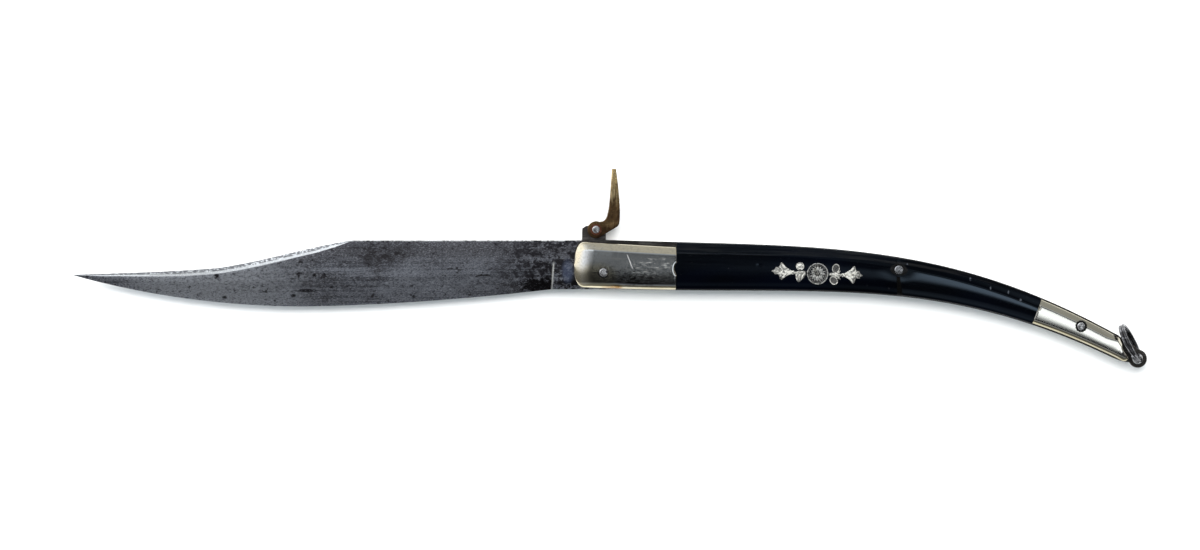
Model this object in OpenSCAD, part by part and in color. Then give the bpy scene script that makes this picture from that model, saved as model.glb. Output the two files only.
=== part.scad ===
// A large folding knife with a lever lock, lying open on its right side.
// X runs from the blade pivot to the tail, Y towards the back with the lever,
// and Z up from the surface that the right bolster lies on.
// The pivot's axis stands on the origin.

/* [Handle line] */
// Reach of the handle ahead of the blade pivot
front_reach = 11; // [9.5:0.5:13]
// Reach of the centreline behind the pivot
tail_reach = 193; // [185:1:200]
// Height of the centreline above the pivot at the front
front_rise = 3.55; // [3.2:0.05:3.9]
// Drop of the centreline below the pivot at the tail
tail_drop = 28.5; // [26.5:0.5:30.5]
// Distance from the pivot back to the front bow point
bow_front_x = 75.5; // [70:0.5:81]
// Height of the front bow point, below the pivot where negative
bow_front_y = -0.5; // [-1.5:0.5:0.5]
// Distance from the pivot back to the rear bow point
bow_rear_x = 122.5; // [117:0.5:127]
// Height of the rear bow point above the pivot
bow_rear_y = 8.5; // [7:0.5:10]
// Depth of the handle at its front
front_depth = 18.2; // [17.8:0.1:19]
// Control depth of the handle behind the bolsters
grip_depth = 18.9; // [18.4:0.1:20]
// Control depth of the handle in its bend
bend_depth = 13.4; // [13:0.1:15]
// Depth of the handle at the end of the centreline
tail_depth = 8.2; // [8:0.1:9]

/* [Thicknesses] */
// Thickness over the two front bolsters
handle_thick = 12.6; // [12:0.1:14]
// Thickness over the two tail caps at their front rims
cap_thick = 10.9; // [10.4:0.1:11.6]
// Thickness over the two tail caps at their ends
tail_thick = 9.8; // [9.4:0.1:10.6]
// Slot between the liners, in which the blade folds
blade_gap = 3.2; // [2.8:0.1:3.6]
// Side clearance of the blade and the spring in the slot
side_play = 0.1; // [0.05:0.05:0.2]
// Thickness of each liner
liner_t = 1; // [0.8:0.1:1.2]
// Thickness of the bolster and cap sheet
sheet_t = 0.8; // [0.6:0.1:1]
// Seating clearance between pieces that don't move
seat = 0.05; // [0.03:0.01:0.08]
// Step down from the bolster and cap faces to the horn
horn_step = 0.3; // [0.15:0.05:0.45]

/* [Blade] */
// Thickness of the blade where its swedge starts
hump_t = 2.3; // [2:0.1:2.6]
// Thickness of the blade at its tip
tip_t = 0.7; // [0.5:0.1:1]
// Thickness left along the cutting edge
edge_t = 0.3; // [0.2:0.05:0.5]
// Height of the spine above the pivot
spine_y = 12; // [11.6:0.1:12.2]
// Distance from the pivot to the point where the spine starts to drop
clip_x = 94.5; // [85:0.5:100]
// Distance from the pivot to the end of the dropping stretch of the spine
clip_end_x = 145; // [138:1:152]
// Depth of the edge below the pivot at the ricasso
ricasso_depth = 6.3; // [6:0.1:6.6]
// Distance from the pivot to the end of the ricasso
ricasso_x = 19.3; // [17:0.1:22]
// Depth of the edge below the pivot at the belly
belly_depth = 12.75; // [11.5:0.25:13.5]
// Distance from the pivot to the deepest point of the belly
belly_x = 112; // [105:1:118]
// Room between the folded tip and the tail eye
tip_room = 0.6; // [0.4:0.1:1.2]
// Angle that the blade folds through
fold_angle = 171; // [170:0.5:172]

/* [Tang and lock] */
// Radius of the round tang
tang_r = 8.8; // [8.4:0.1:9]
// Clearance between the tang and the spring over it
tang_play = 0.1; // [0.05:0.05:0.2]
// Height of the locking tooth above the round of the tang
tooth_rise = 2.2; // [1.8:0.1:2.4]
// Thickness of the locking tooth
tooth_t = 1.7; // [1.4:0.1:1.9]
// Distance from the pivot back to the front face of the tooth
tooth_x = 1.3; // [1:0.1:1.6]
// Width of the tooth at its root
tooth_w = 3; // [2.6:0.1:3.4]
// Distance from the pivot to the blade's shoulder
shoulder_x = 8.6; // [8.2:0.1:9]
// Clearance between the spring's end and the shoulder
shoulder_play = 0.25; // [0.15:0.05:0.4]

/* [Back spring] */
// Step from the handle's back line down to the spring
spring_step = 0.1; // [0.05:0.05:0.2]
// Thickness of the spring just behind the tang
spring_front_t = 3.3; // [3:0.1:3.6]
// Thickness of the spring ahead of the middle rivet
spring_rear_t = 4.9; // [4.4:0.1:5.2]
// Radius of the spring's round end at the middle rivet
knuckle_r = 4.3; // [4:0.1:4.5]
// Gap between the round end and the spacer behind it
knuckle_gap = 0.3; // [0.2:0.05:0.5]
// Length of the window for the tooth
window_l = 4; // [3.8:0.1:4.6]
// Clearance between the tooth and the window
window_play = 0.1; // [0.05:0.05:0.2]
// Height of the lug above the pivot
lug_y = 18.1; // [17.8:0.1:18.6]
// Height of the lug's front corner above the pivot
lug_front_y = 16.4; // [16:0.1:17]
// Distance from the pivot back to the lug's rear face
lug_rear_x = 0.9; // [0.7:0.1:1.1]
// Distance from the pivot forward to the lug's front face
lug_front_x = 8; // [7.6:0.1:8.2]

/* [Lever] */
// Distance from the pivot forward to the lever's pin
lever_pin_x = 2.8; // [2.6:0.1:3]
// Height of the lever's pin above the pivot
lever_pin_y = 16; // [15.8:0.1:16.2]
// Radius of the lever's pin
lever_pin_r = 0.8; // [0.6:0.05:0.9]
// Radius of the lever's round foot
foot_r = 3.2; // [3:0.1:3.3]
// Width of the lever's cheeks, measured over both
lever_w = 6; // [5.6:0.1:6.6]
// Width of the lever at its tip
lever_tip_w = 4.2; // [3.6:0.1:5]
// Height of the lever's tip above the pivot
lever_tip_y = 38.8; // [35:0.2:42]
// Clearance between the lever's fork and the lug
fork_play = 0.1; // [0.1:0.05:0.2]
// Diameter of the lever pin's heads
lever_head_d = 2.8; // [2.4:0.1:3.2]
// Diameter of the washers under the lever pin's heads
lever_washer_d = 4.3; // [3.8:0.1:4.8]

/* [Bolsters] */
// Reach of the bolsters behind the pivot
bolster_rear = 27.2; // [24:0.2:30]
// Step from the back line to the bolster at its front
bolster_top_front = 0.9; // [0.6:0.1:1.2]
// Step from the back line to the bolster at its rear
bolster_top_rear = 2; // [1.4:0.1:2.4]
// Step from the belly line to the bolster
bolster_bottom = 0.15; // [0.1:0.05:0.4]
// Length of the bolster's rounded front
bolster_round = 4.5; // [3.5:0.1:6]
// Length of the sloped facet at the bolster's front
bolster_facet = 6; // [4.5:0.1:7]
// Width of the bolster's bevel along the back
bolster_bevel = 3; // [2:0.1:3.6]
// Width of the bolster's bevel along the belly
bolster_low_bevel = 1.5; // [1:0.1:2.2]
// Height of the shallow notch in the bolster's rear rim
notch_h = 4.6; // [3.6:0.1:5.6]
// Depth of the shallow notch
notch_depth = 0.9; // [0.6:0.1:1.3]

/* [Horn scales] */
// Step from the handle's outline to the horn
horn_edge = 0.2; // [0.1:0.05:0.35]
// Length of the rear horn scales, from their joint to the caps
rear_scale_l = 54.15; // [53.7:0.05:54.9]
// Slant of that joint, as its run along the handle for each unit of height
joint_lean = 0.16; // [0:0.02:0.2]
// Height of the horn above the liner at that joint
joint_h = 3.2; // [3:0.1:3.5]
// Width of the horn's flat facet along the back
horn_bevel = 3.7; // [2.8:0.1:4.4]
// Width of the horn's rounding along the belly
horn_low_bevel = 2.6; // [2:0.1:3.4]
// Share of the horn's height that its crown rises
crown = 0.07; // [0.03:0.01:0.12]
// Width of the joint strip at its top
strip_w = 1.4; // [1.1:0.1:1.8]
// Width of the joint strip at the belly
strip_foot_w = 2.2; // [1.8:0.1:2.8]

/* [Tail caps] */
// Length of the caps along the handle, up to the centreline's end
cap_l = 34; // [31:0.1:36]
// Step from the back line to the cap
cap_top = 0.65; // [0.4:0.05:0.9]
// Step from the belly line to the cap
cap_bottom = 0.5; // [0.3:0.05:0.8]
// Reach of the caps' ends past the centreline's end
cap_tip = 4.5; // [3.8:0.1:4.9]
// Distance from the centreline's end forward to the cap's slanted end
cap_heel = 2; // [1.4:0.1:2.6]
// Width of the cap's bevel along the back
cap_bevel = 2.4; // [1.8:0.1:3]
// Width of the cap's bevel along the belly
cap_low_bevel = 1.3; // [0.9:0.1:1.8]
// Height of the small notch in the cap's front rim
cap_notch_h = 2.4; // [1.8:0.1:3]
// Depth of that notch
cap_notch_depth = 0.7; // [0.4:0.1:0.8]

/* [Rivets] */
// Diameter of the blade pivot
pivot_d = 3.3; // [3:0.1:3.8]
// Running clearance round the pivots and pins
pin_play = 0.1; // [0.05:0.01:0.15]
// Diameter of the rings round the pivot's ends
pivot_ring_d = 4.3; // [4.1:0.1:5]
// Thickness of the rings and washers
washer_t = 0.4; // [0.3:0.05:0.5]
// Distance from the joint between the horn scales back to the middle rivet
middle_back = 0.45; // [0.2:0.05:0.8]
// Distance from the centreline up to the middle rivet
middle_n = 2.5; // [2.4:0.05:2.7]
// Diameter of the middle rivet
middle_d = 3.4; // [3:0.1:3.6]
// Length of the middle rivet's washers along the handle
middle_washer_l = 6.6; // [6:0.1:7.4]
// Width of the middle rivet's washers across the handle
middle_washer_w = 5; // [4.6:0.1:5.6]
// Distance from the centreline's end forward to the tail rivet
tail_rivet_back = 16.7; // [15:0.1:19]
// Distance from the centreline up to the tail rivet
tail_rivet_n = 1.1; // [0.9:0.1:1.4]
// Diameter of the tail rivet's shank
tail_rivet_d = 1.8; // [1.6:0.1:2]
// Diameter of the tail rivet's heads
tail_head_d = 2.9; // [2.5:0.1:3.3]
// Diameter of the tail rivet's washers
tail_washer_d = 4.5; // [4:0.1:5]

/* [Tail eye and ring] */
// Distance from the centreline's end to the eye's centre, along the handle
eye_reach = 7.9; // [7.6:0.1:8.6]
// Distance from the centreline up to the eye's centre, below it where negative
eye_n = -0.1; // [-0.4:0.1:0.3]
// Radius of the eye
eye_r = 3.4; // [3.2:0.1:3.6]
// Radius of the hole in the eye
eye_hole_r = 2; // [1.9:0.05:2.2]
// Room between the folded blade's edge and the spacer
edge_room = 0.7; // [0.5:0.1:0.9]
// Outer diameter of the ring
ring_od = 15.9; // [15:0.1:17]
// Thickness of the ring's wire, which is wound in two turns
ring_wire = 1.2; // [1:0.05:1.25]
// Direction of the ring in plan
ring_yaw = 118; // [114:1:121]
// Lean of the ring's upper half towards the handle
ring_lean = 9; // [6:1:12]
// Height of the ring's centre above the middle of the handle
ring_lift = 1.8; // [1.7:0.1:2]
// Distance of the wire from the middle of the hole that it hangs in
ring_hang = 0.85; // [0.4:0.05:0.9]

/* [Inlay] */
// Share of the front scale's length at which the roundel stands
roundel_share = 0.641; // [0.6:0.001:0.68]
// Distance from the centreline down to the inlay's axis
inlay_drop = 1.6; // [1.2:0.1:1.9]
// Radius of the roundel
roundel_r = 4; // [3.4:0.1:4.2]
// Length of the whole inlay
inlay_l = 34.7; // [33:0.1:37]
// Depth of the inlay in the horn
inlay_sink = 0.5; // [0.4:0.05:0.8]
// Height that the inlay stands proud of the horn
inlay_rise = 0.12; // [0.08:0.02:0.2]

/* [Hidden] */
$fn = 48;
// A cut runs this far past the face that it opens
past = 0.5;
mid_z = handle_thick / 2;
blade_t = blade_gap - 2 * side_play;
liner_z = blade_gap / 2;
skin_z = liner_z + liner_t;
out_h = handle_thick / 2 - skin_z;
cap_h = cap_thick / 2 - skin_z;
tail_h = tail_thick / 2 - skin_z;

// The handle's centreline is one cubic curve, and its depth is another
line = [
    [-front_reach, front_rise], [bow_front_x, bow_front_y],
    [bow_rear_x, bow_rear_y], [tail_reach, -tail_drop]
];
depths = [front_depth, grip_depth, bend_depth, tail_depth];
line_steps = 64;

function cubic(p, t) =
    p[0] * pow(1 - t, 3) + 3 * p[1] * t * pow(1 - t, 2) + 3 * p[2] * t * t * (1 - t) + p[3] * pow(t, 3);

function cubic_slope(p, t) =
    (p[1] - p[0]) * pow(1 - t, 2) + 2 * (p[2] - p[1]) * t * (1 - t) + (p[3] - p[2]) * t * t;

function along(t) = cubic_slope(line, t) / norm(cubic_slope(line, t));

function across(t) = [-along(t)[1], along(t)[0]];

// Pairs of the distance along the handle, zero near the pivot, and the curve's own parameter
function stations(i = 0, s = -front_reach) =
    i > line_steps ? [] : concat(
        [[s, i / line_steps]],
        stations(i + 1, s + norm(cubic(line, (i + 1) / line_steps) - cubic(line, i / line_steps)))
    );

station = stations();
tail_s = station[line_steps][0];

function t_of(s) = lookup(s, station);

// The point at distance s along the handle and n up from the centreline
function at(s, n) =
    let (t = t_of(s), over = max(0, s - tail_s) + min(0, s + front_reach))
    cubic(line, t) + over * along(t) + n * across(t);

function half(s) = cubic(depths, t_of(s)) / 2;

// Places along the handle, counted back from its tail
cap_s = tail_s - cap_l;
tail_rivet_s = tail_s - tail_rivet_back;
joint_s = cap_s - rear_scale_l;
middle_s = joint_s + middle_back;
roundel_s = bolster_rear + roundel_share * (joint_s - bolster_rear);

function from(a, b, count) = [for (i = [0:count]) a + (b - a) * i / count];

// Fullness of a rounded end, from 1 where the round starts to 0 at its end
function fullness(u) = pow(1 - pow(min(max(u, 0), 0.999), 2.6), 1 / 2.6);

// Shares of a cross-section's height at its side and shoulder, of a bevel's width at the shoulder,
// and of the face's width at the crown
side_share = 0.42;
shoulder_share = 0.77;
bevel_share = 0.4;
crown_share = 0.3;

// Half a cross-section, from the back edge over the face to the belly edge
function section(top, bottom, h, bevel, low_bevel, rise, foot) =
    let (w = top - bottom, b = min(bevel, 0.45 * w), c = min(low_bevel, 0.4 * w), flat = w - b - c)
    [
        [top, -foot], [top, side_share * h], [top - bevel_share * b, shoulder_share * h],
        [top - b, (1 - rise) * h], [top - b - crown_share * flat, h],
        [bottom + c + crown_share * flat, h], [bottom + c, (1 - rise) * h],
        [bottom + bevel_share * c, shoulder_share * h], [bottom, side_share * h], [bottom, -foot]
    ];

function ring_at(s, points) = [for (p = points) let (q = at(s, p[0])) [q[0], q[1], p[1]]];

// Joins equal rings of points into one closed solid
module loft(rings) {
    n = len(rings[0]);
    last = (len(rings) - 1) * n;
    walls = [
        for (i = [0:len(rings) - 2], j = [0:n - 1])
            let (a = i * n + j, b = i * n + (j + 1) % n)
            each [[a, b + n, b], [a, a + n, b + n]]
    ];
    near_end = [for (j = [0:n - 1]) j];
    far_end = [for (j = [n - 1:-1:0]) last + j];
    polyhedron([for (r = rings) each r], concat([near_end], walls, [far_end]));
}

// Places a left-hand outside piece on its liner
module left_side() {
    translate([0, 0, mid_z + skin_z]) children();
}

// The same piece on the right
module right_side() {
    translate([0, 0, mid_z - skin_z]) mirror([0, 0, 1]) children();
}

// A flat shape between two heights from the handle's middle plane
module plate(z0, z1) {
    translate([0, 0, mid_z + z0]) linear_extrude(z1 - z0) children();
}

// An upright round bar, which is also the tool for every round hole
module rod(place, d, z0, z1) {
    translate([place[0], place[1], z0]) cylinder(h = z1 - z0, d = d);
}

middle_at = at(middle_s, middle_n);
tail_rivet_at = at(tail_rivet_s, tail_rivet_n);
eye_at = at(tail_s + eye_reach, eye_n);
lever_pin_at = [-lever_pin_x, lever_pin_y];
blade_len = norm(eye_at) - eye_r - tip_room;

// Bolsters and the space inside their sheet
function bolster_top(s) = lookup(s, [[-front_reach, bolster_top_front], [bolster_rear, bolster_top_rear]]);

// Rise of the sloped facet: shares of its length, and the shares of the full height reached there
facet_rise = [[0, 0.45], [0.25, 0.7], [0.6, 0.9], [1, 1]];

function bolster_ring(s, inset, foot) =
    let (
        start = inset - front_reach,
        top = half(s) - bolster_top(s) - inset,
        bottom = bolster_bottom + inset - half(s),
        middle = (top + bottom) / 2,
        full = fullness((start + bolster_round - s) / bolster_round),
        rise = lookup((s - start) / bolster_facet, facet_rise)
    )
    ring_at(s, section(
        middle + full * (top - middle), middle + full * (bottom - middle),
        rise * (out_h - inset), bolster_bevel, bolster_low_bevel, 0, foot
    ));

// Places of the rings in a rounded front, as shares of its length
round_shares = [0, 0.06, 0.2, 0.45, 0.75];

function bolster_rings(inset, foot, rear) =
    let (start = inset - front_reach)
    [
        for (share = round_shares) bolster_ring(start + share * bolster_round, inset, foot),
        for (s = from(start + max(bolster_round, bolster_facet), rear, 4)) bolster_ring(s, inset, foot)
    ];

// Radius of a round notch of height h and depth d
function notch_radius(h, d) = (pow(h / 2, 2) + pow(d, 2)) / (2 * d);

notch_r = notch_radius(notch_h, notch_depth);
notch_n = -1.1;
notch_at = at(bolster_rear + notch_r - notch_depth, notch_n);

module bolster() {
    difference() {
        loft(bolster_rings(0, 0, bolster_rear));
        loft(bolster_rings(sheet_t, past, bolster_rear + past));
        rod([0, 0], pivot_d + 2 * seat, -past, out_h + past);
        rod([0, 0], pivot_ring_d + 2 * seat, out_h - washer_t - seat, out_h + past);
        rod(notch_at, 2 * notch_r, -past, out_h + past);
    }
}

// Horn scales
horn_front_h = out_h - horn_step;

function horn_h(s) = lookup(s, [
    [bolster_rear, horn_front_h], [joint_s, joint_h], [cap_s, cap_h - horn_step]
]);

function horn_section(s, foot) = section(
    half(s) - horn_edge, horn_edge - half(s), horn_h(s), horn_bevel, horn_low_bevel, crown, foot
);

function horn_ring(s, foot) = ring_at(s, horn_section(s, foot));

// Height of the horn's face above the liner
function horn_z(s, n) = lookup(n, horn_section(s, 0));

strip_top_n = middle_n - middle_washer_w / 2;
// The tongues of the horn reach this far under the sheet, and the seated pieces overlap by this much
tongue_back = 1.5;
overlap = 1;

// A point on the slanted joint, d behind it and n up from the centreline
function joint_at(d, n) = at(joint_s + d - joint_lean * n, n);

function joint_ring(d) = [
    for (p = horn_section(joint_s + d, 0)) let (q = joint_at(d, p[0])) [q[0], q[1], p[1]]
];

// Plan of the strip in the joint below the middle rivet
module strip_plan(grow) {
    polygon([
        joint_at(seat - grow, strip_top_n + grow), joint_at(seat - grow, -half(joint_s) - overlap),
        joint_at(strip_foot_w + grow, -half(joint_s) - overlap), joint_at(strip_w + grow, strip_top_n + grow)
    ]);
}

module middle_washer_plan(grow) {
    translate(middle_at)
        rotate(atan2(along(t_of(middle_s))[1], along(t_of(middle_s))[0]))
            square([middle_washer_l + 2 * grow, middle_washer_w + 2 * grow], center = true);
}

middle_face = horn_z(middle_s, middle_n);
// The scales' own stations keep this far from their slanted joint
joint_room = 4;

module middle_rivet_cuts() {
    rod(middle_at, middle_d + 2 * seat, -past, joint_h + past);
    translate([0, 0, middle_face - washer_t - seat]) linear_extrude(joint_h) middle_washer_plan(seat);
}

module front_scale() {
    difference() {
        union() {
            loft([
                for (s = from(bolster_rear + seat, joint_s - joint_room, 9)) horn_ring(s, 0),
                joint_ring(-seat)
            ]);
            loft(bolster_rings(sheet_t + seat, 0, bolster_rear + overlap));
            intersection() {
                loft([for (s = [bolster_rear - tongue_back, bolster_rear + overlap]) horn_ring(s, 0)]);
                rod(notch_at, 2 * (notch_r - seat), 0, out_h);
            }
        }
        rod([0, 0], pivot_d + 2 * seat, -past, out_h + past);
        middle_rivet_cuts();
    }
}

module rear_scale() {
    difference() {
        union() {
            loft([
                joint_ring(seat),
                for (s = from(joint_s + joint_room, cap_s - seat, 8)) horn_ring(s, 0)
            ]);
            loft(cap_rings(sheet_t + seat, 0, cap_s - overlap));
            intersection() {
                loft([for (s = [cap_s - overlap, cap_s + overlap]) horn_ring(s, 0)]);
                rod(cap_notch_at, 2 * (cap_notch_r - seat), 0, out_h);
            }
        }
        middle_rivet_cuts();
        rod(tail_rivet_at, tail_rivet_d + 2 * seat, -past, out_h);
        translate([0, 0, -past]) linear_extrude(out_h + 2 * past) strip_plan(seat);
    }
}

module joint_strip() {
    difference() {
        intersection() {
            loft([joint_ring(0), joint_ring(strip_foot_w + overlap)]);
            linear_extrude(out_h) strip_plan(0);
        }
        rod(middle_at, middle_d + 2 * seat, -past, joint_h + past);
    }
}

// Tail caps and the space inside their sheet
cap_end_s = tail_s + cap_tip;
// The cap's end narrows to this height, by this least depth, over a rounding of this length
cap_tip_n = -2;
cap_least = 0.8;
cap_round = 2.6;
// Heights of the slanted end at the centreline's end, a quarter further on and at the tip
cap_slant = [1.9, 0.5, -1.4];
// Distances from the tip at which the rounded end reaches a share of the cap's height
cap_rise = [[0, 0.55], [1.2, 0.85], [3, 1]];
cap_crown = 0.04;

function cap_ring(s, inset, foot) =
    let (
        end = cap_end_s - inset,
        back = half(s) - cap_top,
        slant = lookup(s, [
            [tail_s - cap_heel, back], [tail_s, cap_slant[0]],
            [tail_s + 0.28 * cap_tip, cap_slant[1]], [cap_end_s, cap_slant[2]]
        ]),
        top = min(back, slant) - inset,
        belly = cap_bottom + inset - half(s),
        bottom = cap_tip_n + (belly - cap_tip_n) * fullness((s - end + cap_round) / cap_round),
        low_top = max(top, bottom + cap_least),
        rise = lookup(end - s, cap_rise),
        h = lookup(s, [[cap_s, cap_h], [cap_end_s, tail_h]])
    )
    ring_at(s, section(low_top, bottom, rise * (h - inset), cap_bevel, cap_low_bevel, cap_crown, foot));

function cap_rings(inset, foot, front) =
    let (heel = tail_s - cap_heel, end = cap_end_s - inset)
    [
        for (s = from(front, heel, 5)) cap_ring(s, inset, foot),
        for (share = [0.18, 0.36, 0.54, 0.7, 0.84, 0.94, 1]) cap_ring(heel + share * (end - heel), inset, foot)
    ];

cap_notch_r = notch_radius(cap_notch_h, cap_notch_depth);
cap_notch_n = 1.3;
cap_notch_at = at(cap_s - cap_notch_r + cap_notch_depth, cap_notch_n);
tail_face = lookup(tail_rivet_s, [[cap_s, cap_h], [cap_end_s, tail_h]]);

module tail_cap() {
    difference() {
        loft(cap_rings(0, 0, cap_s));
        loft(cap_rings(sheet_t, past, cap_s - past));
        rod(tail_rivet_at, tail_rivet_d + 2 * seat, -past, out_h);
        rod(tail_rivet_at, tail_washer_d + 2 * seat, tail_face - washer_t, out_h);
        rod(cap_notch_at, 2 * cap_notch_r, -past, out_h);
    }
}

// Liners
liner_proud = 0.15;
liner_front = -front_reach - liner_proud;
// The liner's end from the back round to the belly: distances past the centreline's end, and heights
liner_nose = [
    [-1.3, half(tail_s) - 0.35], [-0.3, 3], [1.2, 2], [3.4, 1.35], [5.2, 1], [5.1, -0.1],
    [5.3, -1.4], [5.9, -2.7], [4.2, -3.4], [2.2, -3.85], [0, -half(tail_s)]
];

function liner_side(s, side) =
    let (full = fullness((liner_front + bolster_round - s) / bolster_round))
    at(s, side * full * half(s));

module liner() {
    rounds = [for (share = round_shares) liner_front + share * bolster_round];
    run = concat(rounds, from(liner_front + bolster_round, tail_s + 2 * liner_nose[0][0], 24));
    nose = [for (p = liner_nose) at(tail_s + p[0], p[1])];
    difference() {
        linear_extrude(liner_t) polygon(concat(
            [for (s = run) liner_side(s, 1)], nose,
            [for (i = [len(run) - 1:-1:0]) liner_side(run[i], -1)]
        ));
        rod([0, 0], pivot_d + 2 * seat, -past, liner_t + past);
        rod(middle_at, middle_d + 2 * seat, -past, liner_t + past);
        rod(tail_rivet_at, tail_rivet_d + 2 * seat, -past, liner_t + past);
    }
}

module liner_left() {
    color("#3b3a38") translate([0, 0, mid_z + liner_z]) liner();
}

module liner_right() {
    color("#3b3a38") translate([0, 0, mid_z - liner_z]) mirror([0, 0, 1]) liner();
}

module bolster_left() {
    color("#c9c19a") left_side() bolster();
}

module bolster_right() {
    color("#c9c19a") right_side() bolster();
}

module front_scale_left() {
    color("#14161c") difference() {
        left_side() front_scale();
        inlay_pockets();
    }
}

module front_scale_right() {
    color("#14161c") right_side() front_scale();
}

module rear_scale_left() {
    color("#14161c") left_side() rear_scale();
}

module rear_scale_right() {
    color("#14161c") right_side() rear_scale();
}

module joint_strips() {
    color("#2a2624") {
        left_side() joint_strip();
        right_side() joint_strip();
    }
}

module tail_cap_left() {
    color("#c9c19a") left_side() tail_cap();
}

module tail_cap_right() {
    color("#c9c19a") right_side() tail_cap();
}

// Blade
clip_end_y = 1.65;
tip_y = -0.75;
tip_edge_y = -1.1;
// How far the spine's and the edge's curves pull away from their end heights
spine_pull = [2.6, 2.15];
tip_pull = [0.2, -0.3];
edge_pull = [3.6, 0.5];
belly_pull = 9;

function span(x, a, b) = (x - a) / (b - a);

function spine_line(x) =
    x < clip_x ? spine_y :
    x < clip_end_x ? cubic(
        [spine_y, spine_y - spine_pull[0], clip_end_y + spine_pull[1], clip_end_y], span(x, clip_x, clip_end_x)
    ) :
    cubic([clip_end_y, tip_pull[0], tip_pull[1], tip_y], span(x, clip_end_x, blade_len));

function edge_line(x) =
    x < ricasso_x ? -ricasso_depth :
    x < belly_x ? -cubic(
        [ricasso_depth, ricasso_depth + edge_pull[0], belly_depth - edge_pull[1], belly_depth],
        span(x, ricasso_x, belly_x)
    ) :
    -cubic([belly_depth, belly_depth, belly_pull, -tip_edge_y], span(x, belly_x, blade_len));

// The taper starts this far behind the ricasso and ends this far past the clip point. The swedge
// starts and is full at these distances from the clip point, and these are its widths.
taper_start = 10;
swedge_start = -8;
swedge_full = 14;
swedge_w = [0.15, 2.6, 1.5, 0.1];
// Shares of the blade's height where the grind line runs, and the distances from the ricasso
grind_from = [0.7, 22.7];
grind_share = [0.56, 0.4, 0.42, 0.55];
grind_round = 0.3;
// Shares of the blade's thickness along the spine: plain, at the swedge and at the tip
spine_share = [0.94, 0.4, 0.35];

// One ring of the blade at distance x ahead of the pivot
function blade_ring(x) =
    let (
        ground = x > ricasso_x,
        t = lookup(x, [
            [ricasso_x + taper_start, blade_t], [clip_x + taper_start, hump_t], [blade_len, tip_t]
        ]) / 2,
        spine_t = t * lookup(x, [
            [clip_x + swedge_start, spine_share[0]], [clip_x + swedge_full, spine_share[1]],
            [blade_len, spine_share[2]]
        ]),
        top = spine_line(x),
        low = edge_line(x),
        tall = top - low,
        swedge = min(tall / 3, lookup(x, [
            [clip_x + swedge_start, swedge_w[0]], [clip_x + swedge_full, swedge_w[1]],
            [clip_end_x, swedge_w[2]], [blade_len, swedge_w[3]]
        ])),
        bevel_top = !ground ? low + grind_round : low + tall * lookup(x, [
            [ricasso_x + grind_from[0], grind_share[0]], [ricasso_x + grind_from[1], grind_share[1]],
            [clip_x, grind_share[2]], [clip_end_x, grind_share[3]]
        ]),
        edge = ground ? edge_t / 2 : spine_share[0] * t
    )
    [
        [-x, top, -spine_t], [-x, top - swedge, -t], [-x, bevel_top, -t], [-x, low, -edge],
        [-x, low, edge], [-x, bevel_top, t], [-x, top - swedge, t], [-x, top, spine_t]
    ];

// Length of the plunge behind the ricasso, and the least distances between the blade's stations
plunge_l = 0.9;
step_x = 6;
tip_step_x = 1.5;
blade_xs = concat(
    [shoulder_x, ricasso_x - 0.01, ricasso_x + plunge_l],
    from(ricasso_x + step_x, clip_x + swedge_start, 6), from(clip_x + swedge_start / 3, clip_end_x, 9),
    from(clip_end_x + step_x, blade_len - 2 * tip_step_x, 5), [blade_len - tip_step_x, blade_len]
);

// The tang's plate is this much thinner than the blade at each side
tang_skin = 0.05;
// The tang and the tooth reach this far into what they grow from
root_lap = 3;

module tang_plan() {
    intersection() {
        union() {
            circle(r = tang_r, $fn = 96);
            translate([-shoulder_x - root_lap, -ricasso_depth])
                square([shoulder_x + root_lap, ricasso_depth + tang_r - tang_play]);
        }
        translate([-2 * tang_r, -ricasso_depth]) square([4 * tang_r, 4 * tang_r]);
    }
}

tooth_top = tang_r + tooth_rise;

// The tooth's top is a third narrower than its root and drops by these steps
tooth_drop = [0.15, 0.4];

module tooth_plan() {
    polygon([
        [tooth_x, tang_r - root_lap], [tooth_x, tooth_top - tooth_drop[0]],
        [tooth_x + 2 / 3 * tooth_w, tooth_top - tooth_drop[1]],
        [tooth_x + tooth_w, tang_r - tooth_w / 3], [tooth_x + tooth_w, tang_r - root_lap]
    ]);
}

module blade() {
    color("#8d8f91") difference() {
        union() {
            translate([0, 0, mid_z]) loft([for (x = blade_xs) blade_ring(x)]);
            plate(tang_skin - blade_t / 2, blade_t / 2 - tang_skin) tang_plan();
            plate(-tooth_t / 2, tooth_t / 2) tooth_plan();
        }
        rod([0, 0], pivot_d + 2 * pin_play, 0, handle_thick);
    }
}

// Back spring with its window and lug
spring_end_x = shoulder_play - shoulder_x;
spring_under = tang_r + tang_play;
window_x = tooth_x - window_play;
window_h = 4;

// The thin stretch of the spring ends here, and its thick end starts this far ahead of the rivet
spring_root_s = 20;
spring_swell = 8;
knuckle_lap = 3;

function spring_under_at(s) = at(s, half(s) - spring_step - lookup(s, [
    [spring_root_s, spring_front_t], [middle_s - spring_swell, spring_rear_t]
]));

module spring_plan() {
    polygon(concat(
        [for (s = from(spring_end_x, middle_s - knuckle_lap, 16)) at(s, half(s) - spring_step)],
        [for (s = from(middle_s - knuckle_lap, spring_root_s, 8)) spring_under_at(s)],
        [[tang_r + overlap, spring_under], [spring_end_x, spring_under]]
    ));
}

// The lug's corner is cut by this much each way, and its top is this long
lug_corner = [1.4, 1];
lug_top_l = 3;

module lug_plan() {
    polygon([
        [-lug_front_x, spring_under + overlap], [-lug_front_x, lug_front_y],
        [-lug_front_x + lug_corner[0], lug_front_y + lug_corner[1]],
        [lug_rear_x - lug_top_l, lug_y], [lug_rear_x, lug_y], [lug_rear_x, spring_under + overlap]
    ]);
}

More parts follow.
